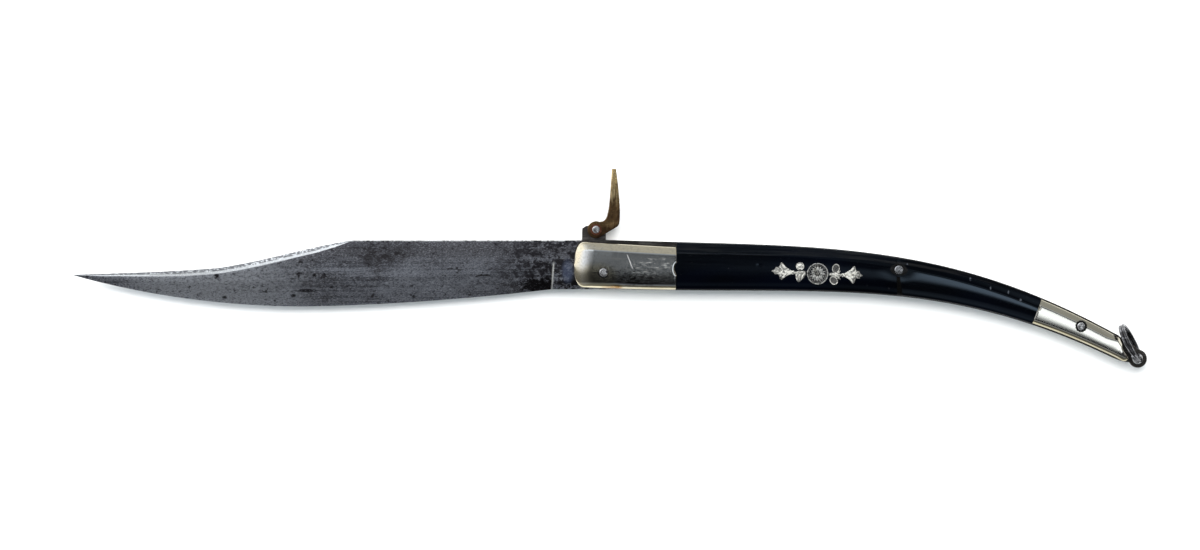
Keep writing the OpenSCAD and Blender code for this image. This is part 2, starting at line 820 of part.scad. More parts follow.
module back_spring() {
    color("#55524e") difference() {
        union() {
            plate(-blade_t / 2, blade_t / 2) spring_plan();
            plate(-blade_t / 2, blade_t / 2) lug_plan();
            rod(middle_at, 2 * knuckle_r, mid_z - blade_t / 2, mid_z + blade_t / 2);
        }
        translate([window_x, spring_under - past, mid_z - tooth_t / 2 - window_play])
            cube([window_l, window_h + past, tooth_t + 2 * window_play]);
        rod(middle_at, middle_d + 2 * pin_play, 0, handle_thick);
        rod(lever_pin_at, 2 * (lever_pin_r + pin_play), 0, handle_thick);
    }
}

// Spacer behind the spring, which ends in the eye. It stays above the folded blade's edge.
function folded(x, y) = [
    x * cos(fold_angle) - y * sin(fold_angle),
    x * sin(fold_angle) + y * cos(fold_angle)
];

spacer_end_s = tail_s - 1.2;
// The spacer starts and stops this far from its neighbours
spacer_gap = 2;
tip_gap = 3.5;
// Corners of the neck that joins the spacer to the eye
eye_s = tail_s + eye_reach;
neck = [
    at(spacer_end_s - 1, half(spacer_end_s) - 0.3), at(eye_s - 1, eye_n + eye_r - 0.25), at(eye_s, eye_n),
    at(eye_s - eye_r + 0.3, eye_n + 1.1), folded(tip_gap - blade_len, tip_edge_y - 1.2 - edge_room)
];

module tail_spacer() {
    color("#474542") difference() {
        union() {
            plate(-liner_z, liner_z) polygon(concat(
                [for (s = from(middle_s + spacer_gap, spacer_end_s, 12)) at(s, half(s) - spring_step)],
                [
                    for (x = from(blade_len - tip_gap, middle_at[0] + spacer_gap, 12))
                        folded(-x, edge_line(x) - edge_room)
                ]
            ));
            plate(-liner_z, liner_z) polygon(neck);
            rod(eye_at, 2 * eye_r, mid_z - liner_z, mid_z + liner_z);
        }
        rod(middle_at, 2 * (knuckle_r + knuckle_gap), 0, handle_thick);
        rod(tail_rivet_at, tail_rivet_d + 2 * seat, 0, handle_thick);
        rod(eye_at, 2 * eye_hole_r, 0, handle_thick);
    }
}

// Rivets
module pivot_rivet() {
    color("#b9b7b0") translate([0, 0, seat]) cylinder(h = handle_thick - 2 * seat, d = pivot_d);
}

module pivot_rings() {
    color("#2e2b28") for (z = [seat, handle_thick - seat - washer_t])
        translate([0, 0, z]) difference() {
            cylinder(h = washer_t, d = pivot_ring_d);
            rod([0, 0], pivot_d + 2 * seat, -past, washer_t + past);
        }
}

module middle_rivet() {
    reach = skin_z + middle_face + seat;
    color("#b9b7b0") rod(middle_at, middle_d, mid_z - reach, mid_z + reach);
}

module middle_washers() {
    color("#2e2b28") for (z = [skin_z + middle_face - washer_t, -skin_z - middle_face])
        difference() {
            plate(z, z + washer_t) middle_washer_plan(0);
            rod(middle_at, middle_d + 2 * seat, 0, handle_thick);
        }
}

tail_washer_z = skin_z + tail_face - washer_t + seat;
tail_head_h = 0.3;

module tail_rivet() {
    reach = tail_washer_z + washer_t;
    shank = reach + tail_head_h / 2;
    color("#b9b7b0") {
        rod(tail_rivet_at, tail_rivet_d, mid_z - shank, mid_z + shank);
        rod(tail_rivet_at, tail_head_d, mid_z + reach, mid_z + reach + tail_head_h);
        rod(tail_rivet_at, tail_head_d, mid_z - reach - tail_head_h, mid_z - reach);
    }
}

module tail_washers() {
    color("#2e2b28") for (z = [tail_washer_z, -tail_washer_z - washer_t])
        difference() {
            rod(tail_rivet_at, tail_washer_d, mid_z + z, mid_z + z + washer_t);
            rod(tail_rivet_at, tail_rivet_d + 2 * seat, 0, handle_thick);
        }
}

// Lever with a forked foot that straddles the lug
crotch_x = lug_rear_x + 0.2;
lever_back = [[-0.3, 19.1], [1.9, 20], [2.2, 24], [3.1, lever_tip_y]];
lever_face = [[4.7, lever_tip_y], [6.2, 28], [6.5, 20], [5.8, 18]];
lever_elbow = [[5.4, 17.3], [0.6, 14.4]];
// The foot's flats stand in from its round by this much, and this far along
foot_flat = [1, 0.4];
// The inner corner of the slot for the liners' backs, and where the slot's slanted face runs out
slot_corner = [2.3, 17.35];
slot_out_y = 29.5;

// The lever tapers above this height, and no point of it is farther than this from the pivot in X
taper_y = 24;
lever_reach = 10;

module lever_plan() {
    polygon(concat(
        [lever_pin_at + [-foot_flat[0], foot_r - foot_flat[1]]],
        [for (t = from(0, 1, 10)) cubic(lever_back, t)],
        [for (t = from(0, 1, 10)) cubic(lever_face, t)],
        lever_elbow, [lever_pin_at + [foot_flat[0], foot_flat[1] - foot_r]]
    ));
}

module lever() {
    fork_w = blade_t + 2 * fork_play;
    color("#a9822e") difference() {
        intersection() {
            union() {
                plate(-lever_w / 2, lever_w / 2) lever_plan();
                rod(lever_pin_at, 2 * foot_r, mid_z - lever_w / 2, mid_z + lever_w / 2);
            }
            translate([-lever_reach, 0, mid_z]) rotate([90, 0, 90]) linear_extrude(2 * lever_reach) polygon([
                [0, -lever_w / 2], [taper_y, -lever_w / 2], [lever_tip_y + past, -lever_tip_w / 2],
                [lever_tip_y + past, lever_tip_w / 2], [taper_y, lever_w / 2], [0, lever_w / 2]
            ]);
        }
        plate(-fork_w / 2, fork_w / 2) polygon([
            [-lever_reach, 0], [lever_reach, 0], [lever_reach, slot_out_y], slot_corner,
            [crotch_x, lug_y + fork_play], [crotch_x, taper_y], [-lever_reach, taper_y]
        ]);
        rod(lever_pin_at, 2 * (lever_pin_r + seat), 0, handle_thick);
    }
}

lever_washer_t = 0.3;
lever_head_h = 0.5;

module lever_pin() {
    reach = lever_w / 2 + lever_washer_t;
    shank = reach + lever_head_h / 2;
    color("#b9b7b0") {
        rod(lever_pin_at, 2 * lever_pin_r, mid_z - shank, mid_z + shank);
        rod(lever_pin_at, lever_head_d, mid_z + reach, mid_z + reach + lever_head_h);
        rod(lever_pin_at, lever_head_d, mid_z - reach - lever_head_h, mid_z - reach);
    }
}

module lever_washers() {
    color("#5b3226") for (z = [lever_w / 2, -lever_w / 2 - lever_washer_t])
        difference() {
            rod(lever_pin_at, lever_washer_d, mid_z + z, mid_z + z + lever_washer_t);
            rod(lever_pin_at, 2 * (lever_pin_r + seat), 0, handle_thick);
        }
}

// Inlay on the left side: a roundel between two sprays
roundel_at = at(roundel_s, -inlay_drop);
inlay_angle = atan2(along(t_of(roundel_s))[1], along(t_of(roundel_s))[0]);
inlay_top = mid_z + skin_z + horn_z(roundel_s, -inlay_drop) + inlay_rise;
inlay_floor = inlay_top - inlay_rise - inlay_sink;

// A leaf with pointed ends, from the origin out along X
module leaf(l, w, grow) {
    bow = [for (t = from(0, 1, 6)) [(l + 2 * grow) * t - grow, 4 * (w / 2 + grow) * t * (1 - t)]];
    polygon(concat(bow, [for (i = [5:-1:1]) [bow[i][0], -bow[i][1]]]));
}

// Length and width of each leaf: in the fans' middles, beside them, outermost, under the bead, in the bow
fan_leaves = [[5.6, 1.5], [4.4, 1.3], [4.2, 1.5]];
fan_turns = [0, 26, 62];
sprig_leaf = [4, 1.3];
sprig_turns = [-80, -105, -130];
bow_leaf = [4.6, 2.6];
// Places of the parts along the axis, counted from the roundel's rim
fan_x = 3.9;
sprig_x = 1.7;
bow_x = 2.1;
bead_x = 2.4;
bead_y = 2.6;
bead_r = 1.6;
stem_w = 1.1;
stem_lap = 0.6;
stem_l = inlay_l / 2 - roundel_r - fan_x - fan_leaves[0][0];
// The straight bars that join each spray to its stem
bar_x = 0.5;
bar_l = 3.6;

module bar(x, l, grow) {
    translate([x, -stem_w / 2 - grow]) square([l, stem_w + 2 * grow]);
}

// A fan of five leaves on a stem, from the origin out along X
module palmette(grow) {
    bar(0, stem_l + stem_lap, grow);
    translate([stem_l, 0]) for (i = [0:len(fan_turns) - 1], side = [1, -1])
        rotate(side * fan_turns[i]) leaf(fan_leaves[i][0], fan_leaves[i][1], grow);
}

module sprays_plan(grow) {
    for (side = [1, -1]) scale([side, 1]) {
        translate([roundel_r + fan_x, 0]) palmette(grow);
        bar(roundel_r + bar_x, bar_l, grow);
    }
    for (turn = sprig_turns)
        translate([-roundel_r - sprig_x, 0]) rotate(turn) leaf(sprig_leaf[0], sprig_leaf[1], grow);
    for (turn = [90, -90])
        translate([roundel_r + bow_x, 0]) rotate(turn) leaf(bow_leaf[0], bow_leaf[1], grow);
}

// The round bead beside the left-hand spray
module bead(h, grow) {
    translate([-roundel_r - bead_x, bead_y]) cylinder(h = h, r = bead_r + grow);
}

module inlay_place(z) {
    translate([roundel_at[0], roundel_at[1], z]) rotate(inlay_angle) children();
}

pocket_h = 2;
// The rosette that is cut in the roundel: its rim, the cut's depth, the boss and the leaves
rosette_rim = 0.5;
rosette_cut = 0.12;
rosette_boss = 0.8;
rosette_leaf = [2.7, 1.3];

module inlay_pockets() {
    inlay_place(inlay_floor - seat) linear_extrude(pocket_h) {
        circle(r = roundel_r + seat);
        sprays_plan(seat);
    }
    inlay_place(inlay_floor - seat) bead(pocket_h, seat);
}

module inlay_roundel() {
    color("#d8d6cc") inlay_place(inlay_floor) difference() {
        cylinder(h = inlay_top - inlay_floor, r = roundel_r);
        translate([0, 0, inlay_top - inlay_floor - rosette_cut]) linear_extrude(past) difference() {
            circle(r = roundel_r - rosette_rim);
            circle(r = rosette_boss);
            for (turn = [0:45:315]) rotate(turn)
                translate([rosette_boss - past / 2, 0]) leaf(rosette_leaf[0], rosette_leaf[1], 0);
        }
    }
}

module inlay_sprays() {
    color("#d8d6cc") inlay_place(inlay_floor) {
        linear_extrude(inlay_top - inlay_floor) sprays_plan(0);
        bead(inlay_top - inlay_floor, 0);
    }
}

// Ring of wire wound in two turns, through the eye. The turns touch, so they lie a little under a wire apart.
turn_share = 0.98;

module belt_ring() {
    ring_r = ring_od / 2 - ring_wire / 2;
    color("#4a4a4c")
        translate([eye_at[0], eye_at[1], mid_z + ring_lift])
            rotate([0, 0, ring_yaw])
                translate([sqrt(ring_r * ring_r - ring_lift * ring_lift) - ring_hang, 0, 0])
                    rotate([90 - ring_lean, 0, 0])
                        for (turn = [-1, 1])
                            translate([0, 0, turn * turn_share * ring_wire / 2])
                                rotate_extrude($fn = 64) translate([ring_r, 0]) circle(d = ring_wire, $fn = 24);
}

blade();
back_spring();
tail_spacer();
liner_left();
liner_right();
bolster_left();
bolster_right();
front_scale_left();
front_scale_right();
rear_scale_left();
rear_scale_right();
joint_strips();
tail_cap_left();
tail_cap_right();
pivot_rivet();
pivot_rings();
middle_rivet();
middle_washers();
tail_rivet();
tail_washers();
lever();
lever_pin();
lever_washers();
inlay_roundel();
inlay_sprays();
belt_ring();
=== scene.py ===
# %% [markdown]
# # A large folding knife with a lever lock
# The knife lies open on its right side, and the camera looks straight down on it. Each cell makes one
# piece or one finish. Lengths are millimetres until a mesh is finished, in the CAD part's own frame: X
# towards the tail, Y towards the back with the lever, and Z up.

# %% Setting up
import math
import random
from types import SimpleNamespace

import bmesh
import bpy
import numpy as np
from mathutils import Matrix, Vector


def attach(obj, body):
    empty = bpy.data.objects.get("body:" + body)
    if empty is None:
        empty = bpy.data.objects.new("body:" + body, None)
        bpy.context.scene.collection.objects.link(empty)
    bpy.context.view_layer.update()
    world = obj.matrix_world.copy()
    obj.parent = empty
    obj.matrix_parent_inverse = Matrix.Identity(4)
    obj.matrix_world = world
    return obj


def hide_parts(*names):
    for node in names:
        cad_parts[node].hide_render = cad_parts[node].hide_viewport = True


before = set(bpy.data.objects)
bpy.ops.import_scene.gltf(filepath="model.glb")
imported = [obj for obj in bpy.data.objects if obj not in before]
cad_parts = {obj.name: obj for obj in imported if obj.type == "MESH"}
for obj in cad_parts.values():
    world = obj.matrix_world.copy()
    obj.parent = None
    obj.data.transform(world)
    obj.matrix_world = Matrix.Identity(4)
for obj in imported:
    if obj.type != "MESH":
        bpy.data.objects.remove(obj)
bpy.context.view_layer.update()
random.seed(11)
MM = 0.001

# %% [markdown]
# ## The handle line
# The handle bends down towards its tail, and everything on it bends alike. So its centreline is one cubic
# curve, and its depth is another. A place on the handle is its distance s along the curve and its height
# n across it, which keeps scales, caps and liners in step without a list of measured points.

# %% The handle line
LINE = np.array([(-11, 3.55), (75.5, -0.5), (122.5, 8.5), (193, -28.5)])
DEPTHS = np.array([18.2, 18.9, 13.4, 8.2])
FRONT = -11.0
BOLSTER_REAR, JOINT, CAP_FRONT = 27.2, 109.75, 163.9
MID = 6.3
SLOT, LINER = 1.6, 1.0
SKIN = SLOT + LINER
OUT, CAP, TAIL = MID - SKIN, 5.45 - SKIN, 4.9 - SKIN


def cubic(p, t):
    return p[0] * (1 - t) ** 3 + 3 * p[1] * t * (1 - t) ** 2 + 3 * p[2] * t * t * (1 - t) + p[3] * t ** 3


def slope(t):
    p = LINE
    d = (p[1] - p[0]) * (1 - t) ** 2 + 2 * (p[2] - p[1]) * t * (1 - t) + (p[3] - p[2]) * t * t
    return d / np.linalg.norm(d)


def run_of(points):
    """The distance along a line to each of its points."""
    return np.concatenate([[0], np.cumsum(np.linalg.norm(np.diff(points, axis=0), axis=1))])


SHARES = np.linspace(0, 1, 65)
LENGTHS = FRONT + run_of(np.array([cubic(LINE, t) for t in SHARES]))
END = LENGTHS[-1]


def share_at(s):
    return float(np.interp(s, LENGTHS, SHARES))


def at(s, n):
    """The place at distance s along the handle and height n across it, also straight on past its ends."""
    d = slope(share_at(s))
    over = max(0, s - END) + min(0, s - FRONT)
    return cubic(LINE, share_at(s)) + over * d + n * np.array([-d[1], d[0]])


def half(s):
    return cubic(DEPTHS, share_at(s)) / 2


def look(x, pairs):
    """Looks a value up between the pairs of a short table."""
    return float(np.interp(x, [p[0] for p in pairs], [p[1] for p in pairs]))


EYE = at(END + 7.9, -0.1)
print("handle line: %.1f mm long, eye at %s" % (END - FRONT, np.round(EYE, 2)))

# %% [markdown]
# ## A kit for finishes
# Old metal is never one colour, so each finish is a small node graph in which noise, the place and the
# way a face looks decide the colour. The nodes could be wired in the editor. A class with one short call
# for each kind of node keeps a finish to a few lines, and its constant values stay on the shader's own
# sockets.

# %% A kit for finishes


class Graph:
    """A material's node tree, with a short call for each kind of node used here."""

    def __init__(self, name, color, metallic=0.0, rough=0.5, **shader):
        self.mat = bpy.data.materials.new(name)
        self.mat.use_nodes = True
        self.tree = self.mat.node_tree
        self.shader = self.tree.nodes["Principled BSDF"]
        self.feed(Base_Color=(*color, 1), Metallic=metallic, Roughness=rough, **shader)
        self.coords = self.node("TexCoord")
        self.color = (*color, 1)
        self.bent = None

    def fill(self, node, values):
        """Gives a node its settings, and its sockets a constant or a link. An underscore is a space."""
        for key, value in values.items():
            if hasattr(node, key):
                setattr(node, key, value)
                continue
            socket = node.inputs[key.replace("_", " ")]
            if isinstance(value, bpy.types.NodeSocket):
                self.tree.links.new(value, socket)
            else:
                socket.default_value = value
        return node

    def node(self, kind, **values):
        return self.fill(self.tree.nodes.new("ShaderNode" + kind), values)

    def feed(self, **values):
        self.fill(self.shader, values)

    def space(self, scale=(1, 1, 1), uv=False, shift=(0, 0, 0)):
        """Object or UV coordinates, scaled and then shifted."""
        source = self.coords.outputs["UV" if uv else "Object"]
        return self.node("Mapping", Vector=source, Scale=scale, Location=shift).outputs["Vector"]

    def axes(self, vector):
        return self.node("SeparateXYZ", Vector=vector).outputs

    def noise(self, scale, detail, rough, warp=0.0, uv=False, shift=(0, 0, 0)):
        n = self.node("TexNoise", Vector=self.space(scale, uv, shift), Scale=1.0, Detail=detail,
                      Roughness=rough, Distortion=warp)
        return n.outputs["Fac"]

    def range(self, value, low, high, to_low=0.0, to_high=1.0):
        """A smooth step from to_low, where the value is low, to to_high, where it is high."""
        r = self.node("MapRange", interpolation_type="SMOOTHSTEP", Value=value, From_Min=low, From_Max=high,
                      To_Min=to_low, To_Max=to_high)
        return r.outputs["Result"]

    def math(self, operation, *values):
        m = self.node("Math", operation=operation)
        for socket, value in zip(m.inputs, values):
            if isinstance(value, bpy.types.NodeSocket):
                self.tree.links.new(value, socket)
            else:
                socket.default_value = value
        return m.outputs["Value"]

    def times(self, product, *others):
        for other in others:
            product = self.math("MULTIPLY", product, other)
        return product

    def spot(self, center, radius, soft, stretch):
        """A soft-edged mask round a place, in millimetres. A stretch of 0 leaves that axis out."""
        vector = self.space([k / MM for k in stretch], shift=[-c * k for c, k in zip(center, stretch)])
        size = self.node("VectorMath", operation="LENGTH", Vector=vector)
        return self.range(size.outputs["Value"], radius, radius + soft, 1.0, 0.0)

    def tint(self, factor, color, share=1.0):
        """Mixes a colour over what is there, by factor times share."""
        if share != 1.0:
            factor = self.times(factor, share)
        mix = self.node("Mix", data_type="RGBA", A=self.color, B=(*color, 1), Factor=factor)
        self.color = mix.outputs["Result"]
        self.feed(Base_Color=self.color)

    def bump(self, height, distance, strength):
        """Adds a bump on top of the earlier ones, with its distance in millimetres."""
        values = {"Normal": self.bent} if self.bent else {}
        b = self.node("Bump", Distance=distance * MM, Strength=strength, Height=height, **values)
        self.bent = b.outputs["Normal"]
        self.feed(Normal=self.bent)


# %% [markdown]
# ## A kit for meshes
# A covering of the handle is a surface with a changing cross-section. It could be lofted by hand. Here a
# grid from `create_grid` is bent into place instead, which also gives it a UV map of s and n. Its open
# side is joined and its ends are filled, so that it is a closed shell, and then its faces are turned
# outward.

# %% Bent grids
JOIN_DIST = 0.0005


def sheet(bm, cols, rows, place, closed=True):
    """Bends one grid: place(u, v) gives each point and its UV, for u across and v along."""
    grid = bmesh.ops.create_grid(bm, x_segments=cols, y_segments=rows, size=0.5)["verts"]
    uv = {}
    for vert in grid:
        point = place(vert.co.x + 0.5, vert.co.y + 0.5)
        vert.co = point[:3]
        uv[vert] = point[3:]
    layer = bm.loops.layers.uv.verify()
    for face in {f for v in grid for f in v.link_faces}:
        for loop in face.loops:
            loop[layer].uv = Vector(uv[loop.vert]) * MM
    if closed:
        bmesh.ops.remove_doubles(bm, verts=[v for v in grid if v.is_boundary], dist=JOIN_DIST)
        bmesh.ops.holes_fill(bm, edges=[e for e in bm.edges if e.is_boundary], sides=0)


def outward(bm):
    """Turns each connected shell's faces outward."""
    bmesh.ops.recalc_face_normals(bm, faces=bm.faces)
    left = set(bm.faces)
    while left:
        part, todo = [], [left.pop()]
        while todo:
            face = todo.pop()
            part.append(face)
            near = {f for e in face.edges for f in e.link_faces} & left
            left -= near
            todo += near
        middle = sum((f.calc_center_median() for f in part), Vector()) / len(part)
        if sum((f.calc_center_median() - middle).dot(f.normal) * f.calc_area() for f in part) < 0:
            bmesh.ops.reverse_faces(bm, faces=part)


def bevel(bm, edges, offset, segments):
    bmesh.ops.bevel(bm, geom=edges, offset=offset, segments=segments, profile=0.5, affect="EDGES",
                    clamp_overlap=True, material=-1)


def verts_of(geom):
    return [v for v in geom if isinstance(v, bmesh.types.BMVert)]


# %% [markdown]
# ## Plates
# Liners, spring, washers and lever are cut from sheet or bar. A face could be drawn and given a Solidify
# modifier. Filling the outline, extruding it and rounding its rims in the bmesh leaves room for holes,
# and stays exact.

# %% Plates
SHARP = 1.0
LEVEL = 1e-4


def circle(center, r, count=40):
    turns = [2 * math.pi * i / count for i in range(count)]
    return [(center[0] + r * math.cos(a), center[1] + r * math.sin(a)) for a in turns]


def arc(center, r, start, end, count):
    turns = [math.radians(a) for a in np.linspace(start, end, count)]
    return [(center[0] + r * math.cos(a), center[1] + r * math.sin(a)) for a in turns]


def outline_edges(bm, points, z):
    verts = [bm.verts.new((p[0], p[1], z)) for p in points]
    return [bm.edges.new(pair) for pair in zip(verts, verts[1:] + verts[:1])]


def plate(bm, outline, low, high, holes=(), rim=0.0, segments=2):
    """Fills an outline round its holes, extrudes it from low to high and rounds its rims."""
    loops = [e for points in (outline, *holes) for e in outline_edges(bm, points, low)]
    if holes:
        filled = bmesh.ops.triangle_fill(bm, edges=loops, use_beauty=True)["geom"]
        faces = [f for f in filled if isinstance(f, bmesh.types.BMFace)]
    else:
        faces = bmesh.ops.contextual_create(bm, geom=loops)["faces"]
    top = verts_of(bmesh.ops.extrude_face_region(bm, geom=faces, use_keep_orig=True)["geom"])
    bmesh.ops.translate(bm, verts=top, vec=(0, 0, high - low))
    members = {v for e in loops for v in e.verts} | set(top)
    bmesh.ops.recalc_face_normals(bm, faces=[f for f in bm.faces if f.verts[0] in members])
    if rim:
        around = [e for e in bm.edges if e.verts[0] in members and len(e.link_faces) == 2]
        level = [e for e in around if abs(e.verts[0].co.z - e.verts[1].co.z) < LEVEL]
        bevel(bm, [e for e in level if e.calc_face_angle(0) > SHARP], rim, segments)


# %% [markdown]
# ## Finishing a piece
# Each piece becomes one object at the origin, shaded smooth up to an angle, tied to its body, and named
# for the CAD node that it stands for. Pockets are taken out with a Boolean modifier whose result is kept
# as the mesh.

# %% Finishing a piece


def in_metres(bm, name):
    bmesh.ops.scale(bm, vec=(MM, MM, MM), verts=bm.verts)
    mesh = bpy.data.meshes.new(name)
    bm.to_mesh(mesh)
    bm.free()
    obj = bpy.data.objects.new(name, mesh)
    bpy.context.scene.collection.objects.link(obj)
    return obj


def finish(bm, name, materials, body, node, angle=38):
    """Makes the object, shades it, ties it to its body and CAD node, and prints it."""
    outward(bm)
    obj = in_metres(bm, name)
    for mat in materials:
        obj.data.materials.append(mat)
    for poly in obj.data.polygons:
        poly.use_smooth = True
    obj.data.set_sharp_from_angle(angle=math.radians(angle))
    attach(obj, body)
    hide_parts(node)
    print("%-24s %6d faces" % (name, len(obj.data.polygons)))
    return obj


def cut(obj, make):
    """Takes the shape that make(bm) builds out of an object."""
    bm = bmesh.new()
    make(bm)
    bmesh.ops.recalc_face_normals(bm, faces=bm.faces)
    tool = in_metres(bm, "cutter")
    mod = obj.modifiers.new("cut", "BOOLEAN")
    mod.operation, mod.object, mod.solver = "DIFFERENCE", tool, "EXACT"
    graph = bpy.context.evaluated_depsgraph_get()
    result = bpy.data.meshes.new_from_object(obj.evaluated_get(graph))
    obj.modifiers.clear()
    obj.data = result
    bpy.data.objects.remove(tool)


# %% [markdown]
# ## Coverings
# A bolster, a scale and a cap share one kind of cross-section: up the side, over a bevel, across a
# slightly crowned face and down again. Cutting the corners of that line again and again rounds it as a
# file would, and keeps it inside the CAD section.

# %% Coverings
EDGE_STAND, SIDE_SLOPE = 0.42, 0.56


def soft(points, rounds=2):
    """Cuts the corners of an open line again and again, which rounds it."""
    for _ in range(rounds):
        trimmed = [points[0]]
        for a, b in zip(points, points[1:]):
            a, b = np.array(a), np.array(b)
            trimmed += [0.75 * a + 0.25 * b, 0.25 * a + 0.75 * b]
        points = trimmed + [points[-1]]
    return points


def along_line(points, u):
    """The point at share u of a line's length."""
    p = np.array(points, dtype=float)
    run = run_of(p)
    return [float(np.interp(u * run[-1], run, p[:, i])) for i in range(p.shape[1])]


def section(top, bottom, h, edge_wide, low_wide, rise, crisp=0.82, peak=0.5):
    """Half a cross-section, h high, with a crown of share rise whose peak is at a share of the face."""
    w = top - bottom
    b, c = min(edge_wide, 0.45 * w), min(low_wide, 0.4 * w)
    edge, low = top - b, bottom + c
    face = [(edge + (low - edge) * k, h * (1 - rise * 4 * (k - peak) ** 2)) for k in np.linspace(0, 1, 9)]
    return [
        (top, 0), (top, 0.3 * h), (top, EDGE_STAND * h), (top - 0.15 * b, SIDE_SLOPE * h),
        (top - crisp * b, (EDGE_STAND + (1 - EDGE_STAND - rise) * crisp) * h), *face,
        (bottom + 0.35 * c, 0.74 * h), (bottom, EDGE_STAND * h), (bottom, 0),
    ]


def fullness(u, power=2.6):
    """How wide a rounded oblong is at share u of its end."""
    return (1 - min(max(u, 0), 0.9995) ** power) ** (1 / power)


def bite(n, middle, high, deep):
    """How far the round notch in a rim reaches in at height n."""
    return deep * max(0, 1 - ((n - middle) / (high / 2)) ** 2) ** 0.5


def pressed(h, s, n, dents):
    """The height h with each dent (s, n, length, width, depth) pressed into it."""
    for ds, dn, a, b, deep in dents:
        h -= deep * math.exp(-((s - ds) / a) ** 2 - ((n - dn) / b) ** 2)
    return h


def covering(side, cols, rows, section_at, reach, shape):
    """A closed shell over a liner. reach(v) gives its s, and shape(s, n, h, v) its final s and h."""
    bm = bmesh.new()
    memo = {}

    def place(u, v):
        step = round(u * (cols + 1))
        s = reach(v)
        if v not in memo:
            memo[v] = soft(section_at(s))
        n, h = along_line(memo[v], 0 if step > cols else step / cols)
        s, h = shape(s, n, h, v)
        x, y = at(s, n)
        return (x, y, MID + side * (SKIN + h), s, n)

    sheet(bm, cols + 1, rows, place)
    outward(bm)
    return bm


# %% [markdown]
# ## Nickel silver
# The bolsters and caps are white metal. A plain metallic shader would look like chrome. Here the way a face
# looks picks the tint, as painted light and shade: faces that look straight up get one tint and the bevels
# another, which paints the caps' top plane light and their bevels dark and makes the bolsters' bevels
# yellower, and faces turned towards the belly or the back are painted darker. Brushed lines and fine grain
# lie over it.

# %% Nickel silver


def nickel(name, flat, edge, brushing, uv, grain, pits):
    g = Graph(name, edge, 1.0, 0.24)
    facing = g.axes(g.coords.outputs["Normal"])
    lines = g.noise(brushing, 5, 0.75, uv=uv)
    fine = g.noise((1300, 1300, 1300), 8, 0.75)
    # Painted light and shade: faces that look straight up take the flat tint, and steeper faces keep the edge
    # tint.
    g.tint(g.range(g.math("ABSOLUTE", facing["Z"]), 0.88, 0.95), flat)
    # Painted shade on faces that turn towards the belly, which would mirror the bright floor.
    g.tint(g.range(facing["Y"], -0.35, -0.6), (0.36, 0.32, 0.21), 0.9)
    # Painted shade on faces that turn towards the back.
    g.tint(g.range(facing["Y"], 0.6, 0.8), (0.34, 0.31, 0.23), 0.9)
    g.tint(g.range(fine, 0.48, 0.62), (0.42, 0.41, 0.36), grain)
    g.tint(g.range(lines, 0.52, 0.7), (0.86, 0.84, 0.76), 0.3)
    g.feed(Roughness=g.range(fine, 0.3, 0.7, 0.13 - 0.12 * grain, 0.13 + 0.12 * grain))
    g.bump(lines, 0.004, 0.35)
    g.bump(fine, pits, 0.4)
    return g, fine


def bolster_marks(g, fine):
    """Brass that shows through in the two dents, one long scratch, smears, a warm patch and a dark smudge."""
    for x, width in ((0.6, 1.3), (4.2, 2.4)):
        worn = g.times(g.spot((x, -5.6, 9.0), 0.7, 0.9, (1 / width, 1.4, 0.1)), g.range(fine, 0.3, 0.5))
        g.tint(worn, (0.2, 0.1, 0.02))
    from_scratch = g.space([1 / MM] * 3, shift=(-9.9, -3.9, 0))
    turned = g.node("VectorRotate", rotation_type="Z_AXIS", Vector=from_scratch, Angle=math.radians(69))
    across = g.axes(turned.outputs["Vector"])
    scratch = g.times(g.range(g.math("ABSOLUTE", across["Y"]), 0.06, 0.26, 1, 0),
                      g.range(g.math("ABSOLUTE", across["X"]), 2.2, 3.4, 1, 0))
    g.tint(scratch, (1.0, 1.0, 1.0))
    marks = g.noise((420, 1500, 300), 5, 0.65, 0.3)
    there = g.spot((19.5, 1.8, 12.6), 2.5, 5.5, (0.6, 1.6, 0))
    smears = g.times(g.range(marks, 0.52, 0.62), there, g.range(fine, 0.38, 0.55))
    g.tint(smears, (0.9, 0.9, 0.88))
    scars = g.math("MAXIMUM", g.times(smears, 0.16), g.times(scratch, 0.22))
    g.feed(Metallic=g.math("SUBTRACT", 1.0, scars))
    g.tint(g.spot((-2.5, -1.6, 12.4), 3.2, 4.5, (0.8, 1.2, 0)), (0.66, 0.6, 0.42), 0.7)
    smudge = g.spot((13, -3.0, 12.4), 1.2, 3.2, (0.3, 1.5, 0))
    g.tint(g.times(g.range(marks, 0.55, 0.42), smudge), (0.09, 0.085, 0.08))


# The bolsters: grey where faces look up and yellower on the bevels, both picked by the way each face looks.
bolster_metal, bolster_grain = nickel("nickel_silver", (0.62, 0.64, 0.66), (0.69, 0.62, 0.47),
                                      (60, 1500, 900), False, 0.4, 0.005)
bolster_marks(bolster_metal, bolster_grain)
# The caps: painted light, near white where faces look up, and painted shade on the bevels and the turn to the
# belly.
cap_metal, _ = nickel("cap_nickel_silver", (0.96, 0.94, 0.88), (0.44, 0.41, 0.33),
                      (60, 1400, 1), True, 0.03, 0.0015)
print("nickel silver: %d nodes" % len(bolster_metal.tree.nodes))

# %% [markdown]
# ## Bolsters
# A bolster is pressed from sheet metal, one for each side. Its front is a rounded oblong with a
# sloping facet, its rear rim stands a little proud of the horn, with a shallow notch half way up, and two
# dents wear the belly edge on the left. Bending a grid keeps all that in one surface; the pocket for the
# pivot is cut afterwards.

# %% Bolsters
PIVOT = (0, 0)
PIVOT_R, PIVOT_RING_R = 1.65, 2.1
NOSE = 4.5
LEFT_DENTS = [(0.6, -8.4, 1.1, 0.7, 0.16), (4.4, -8.4, 1.9, 0.8, 0.28)]


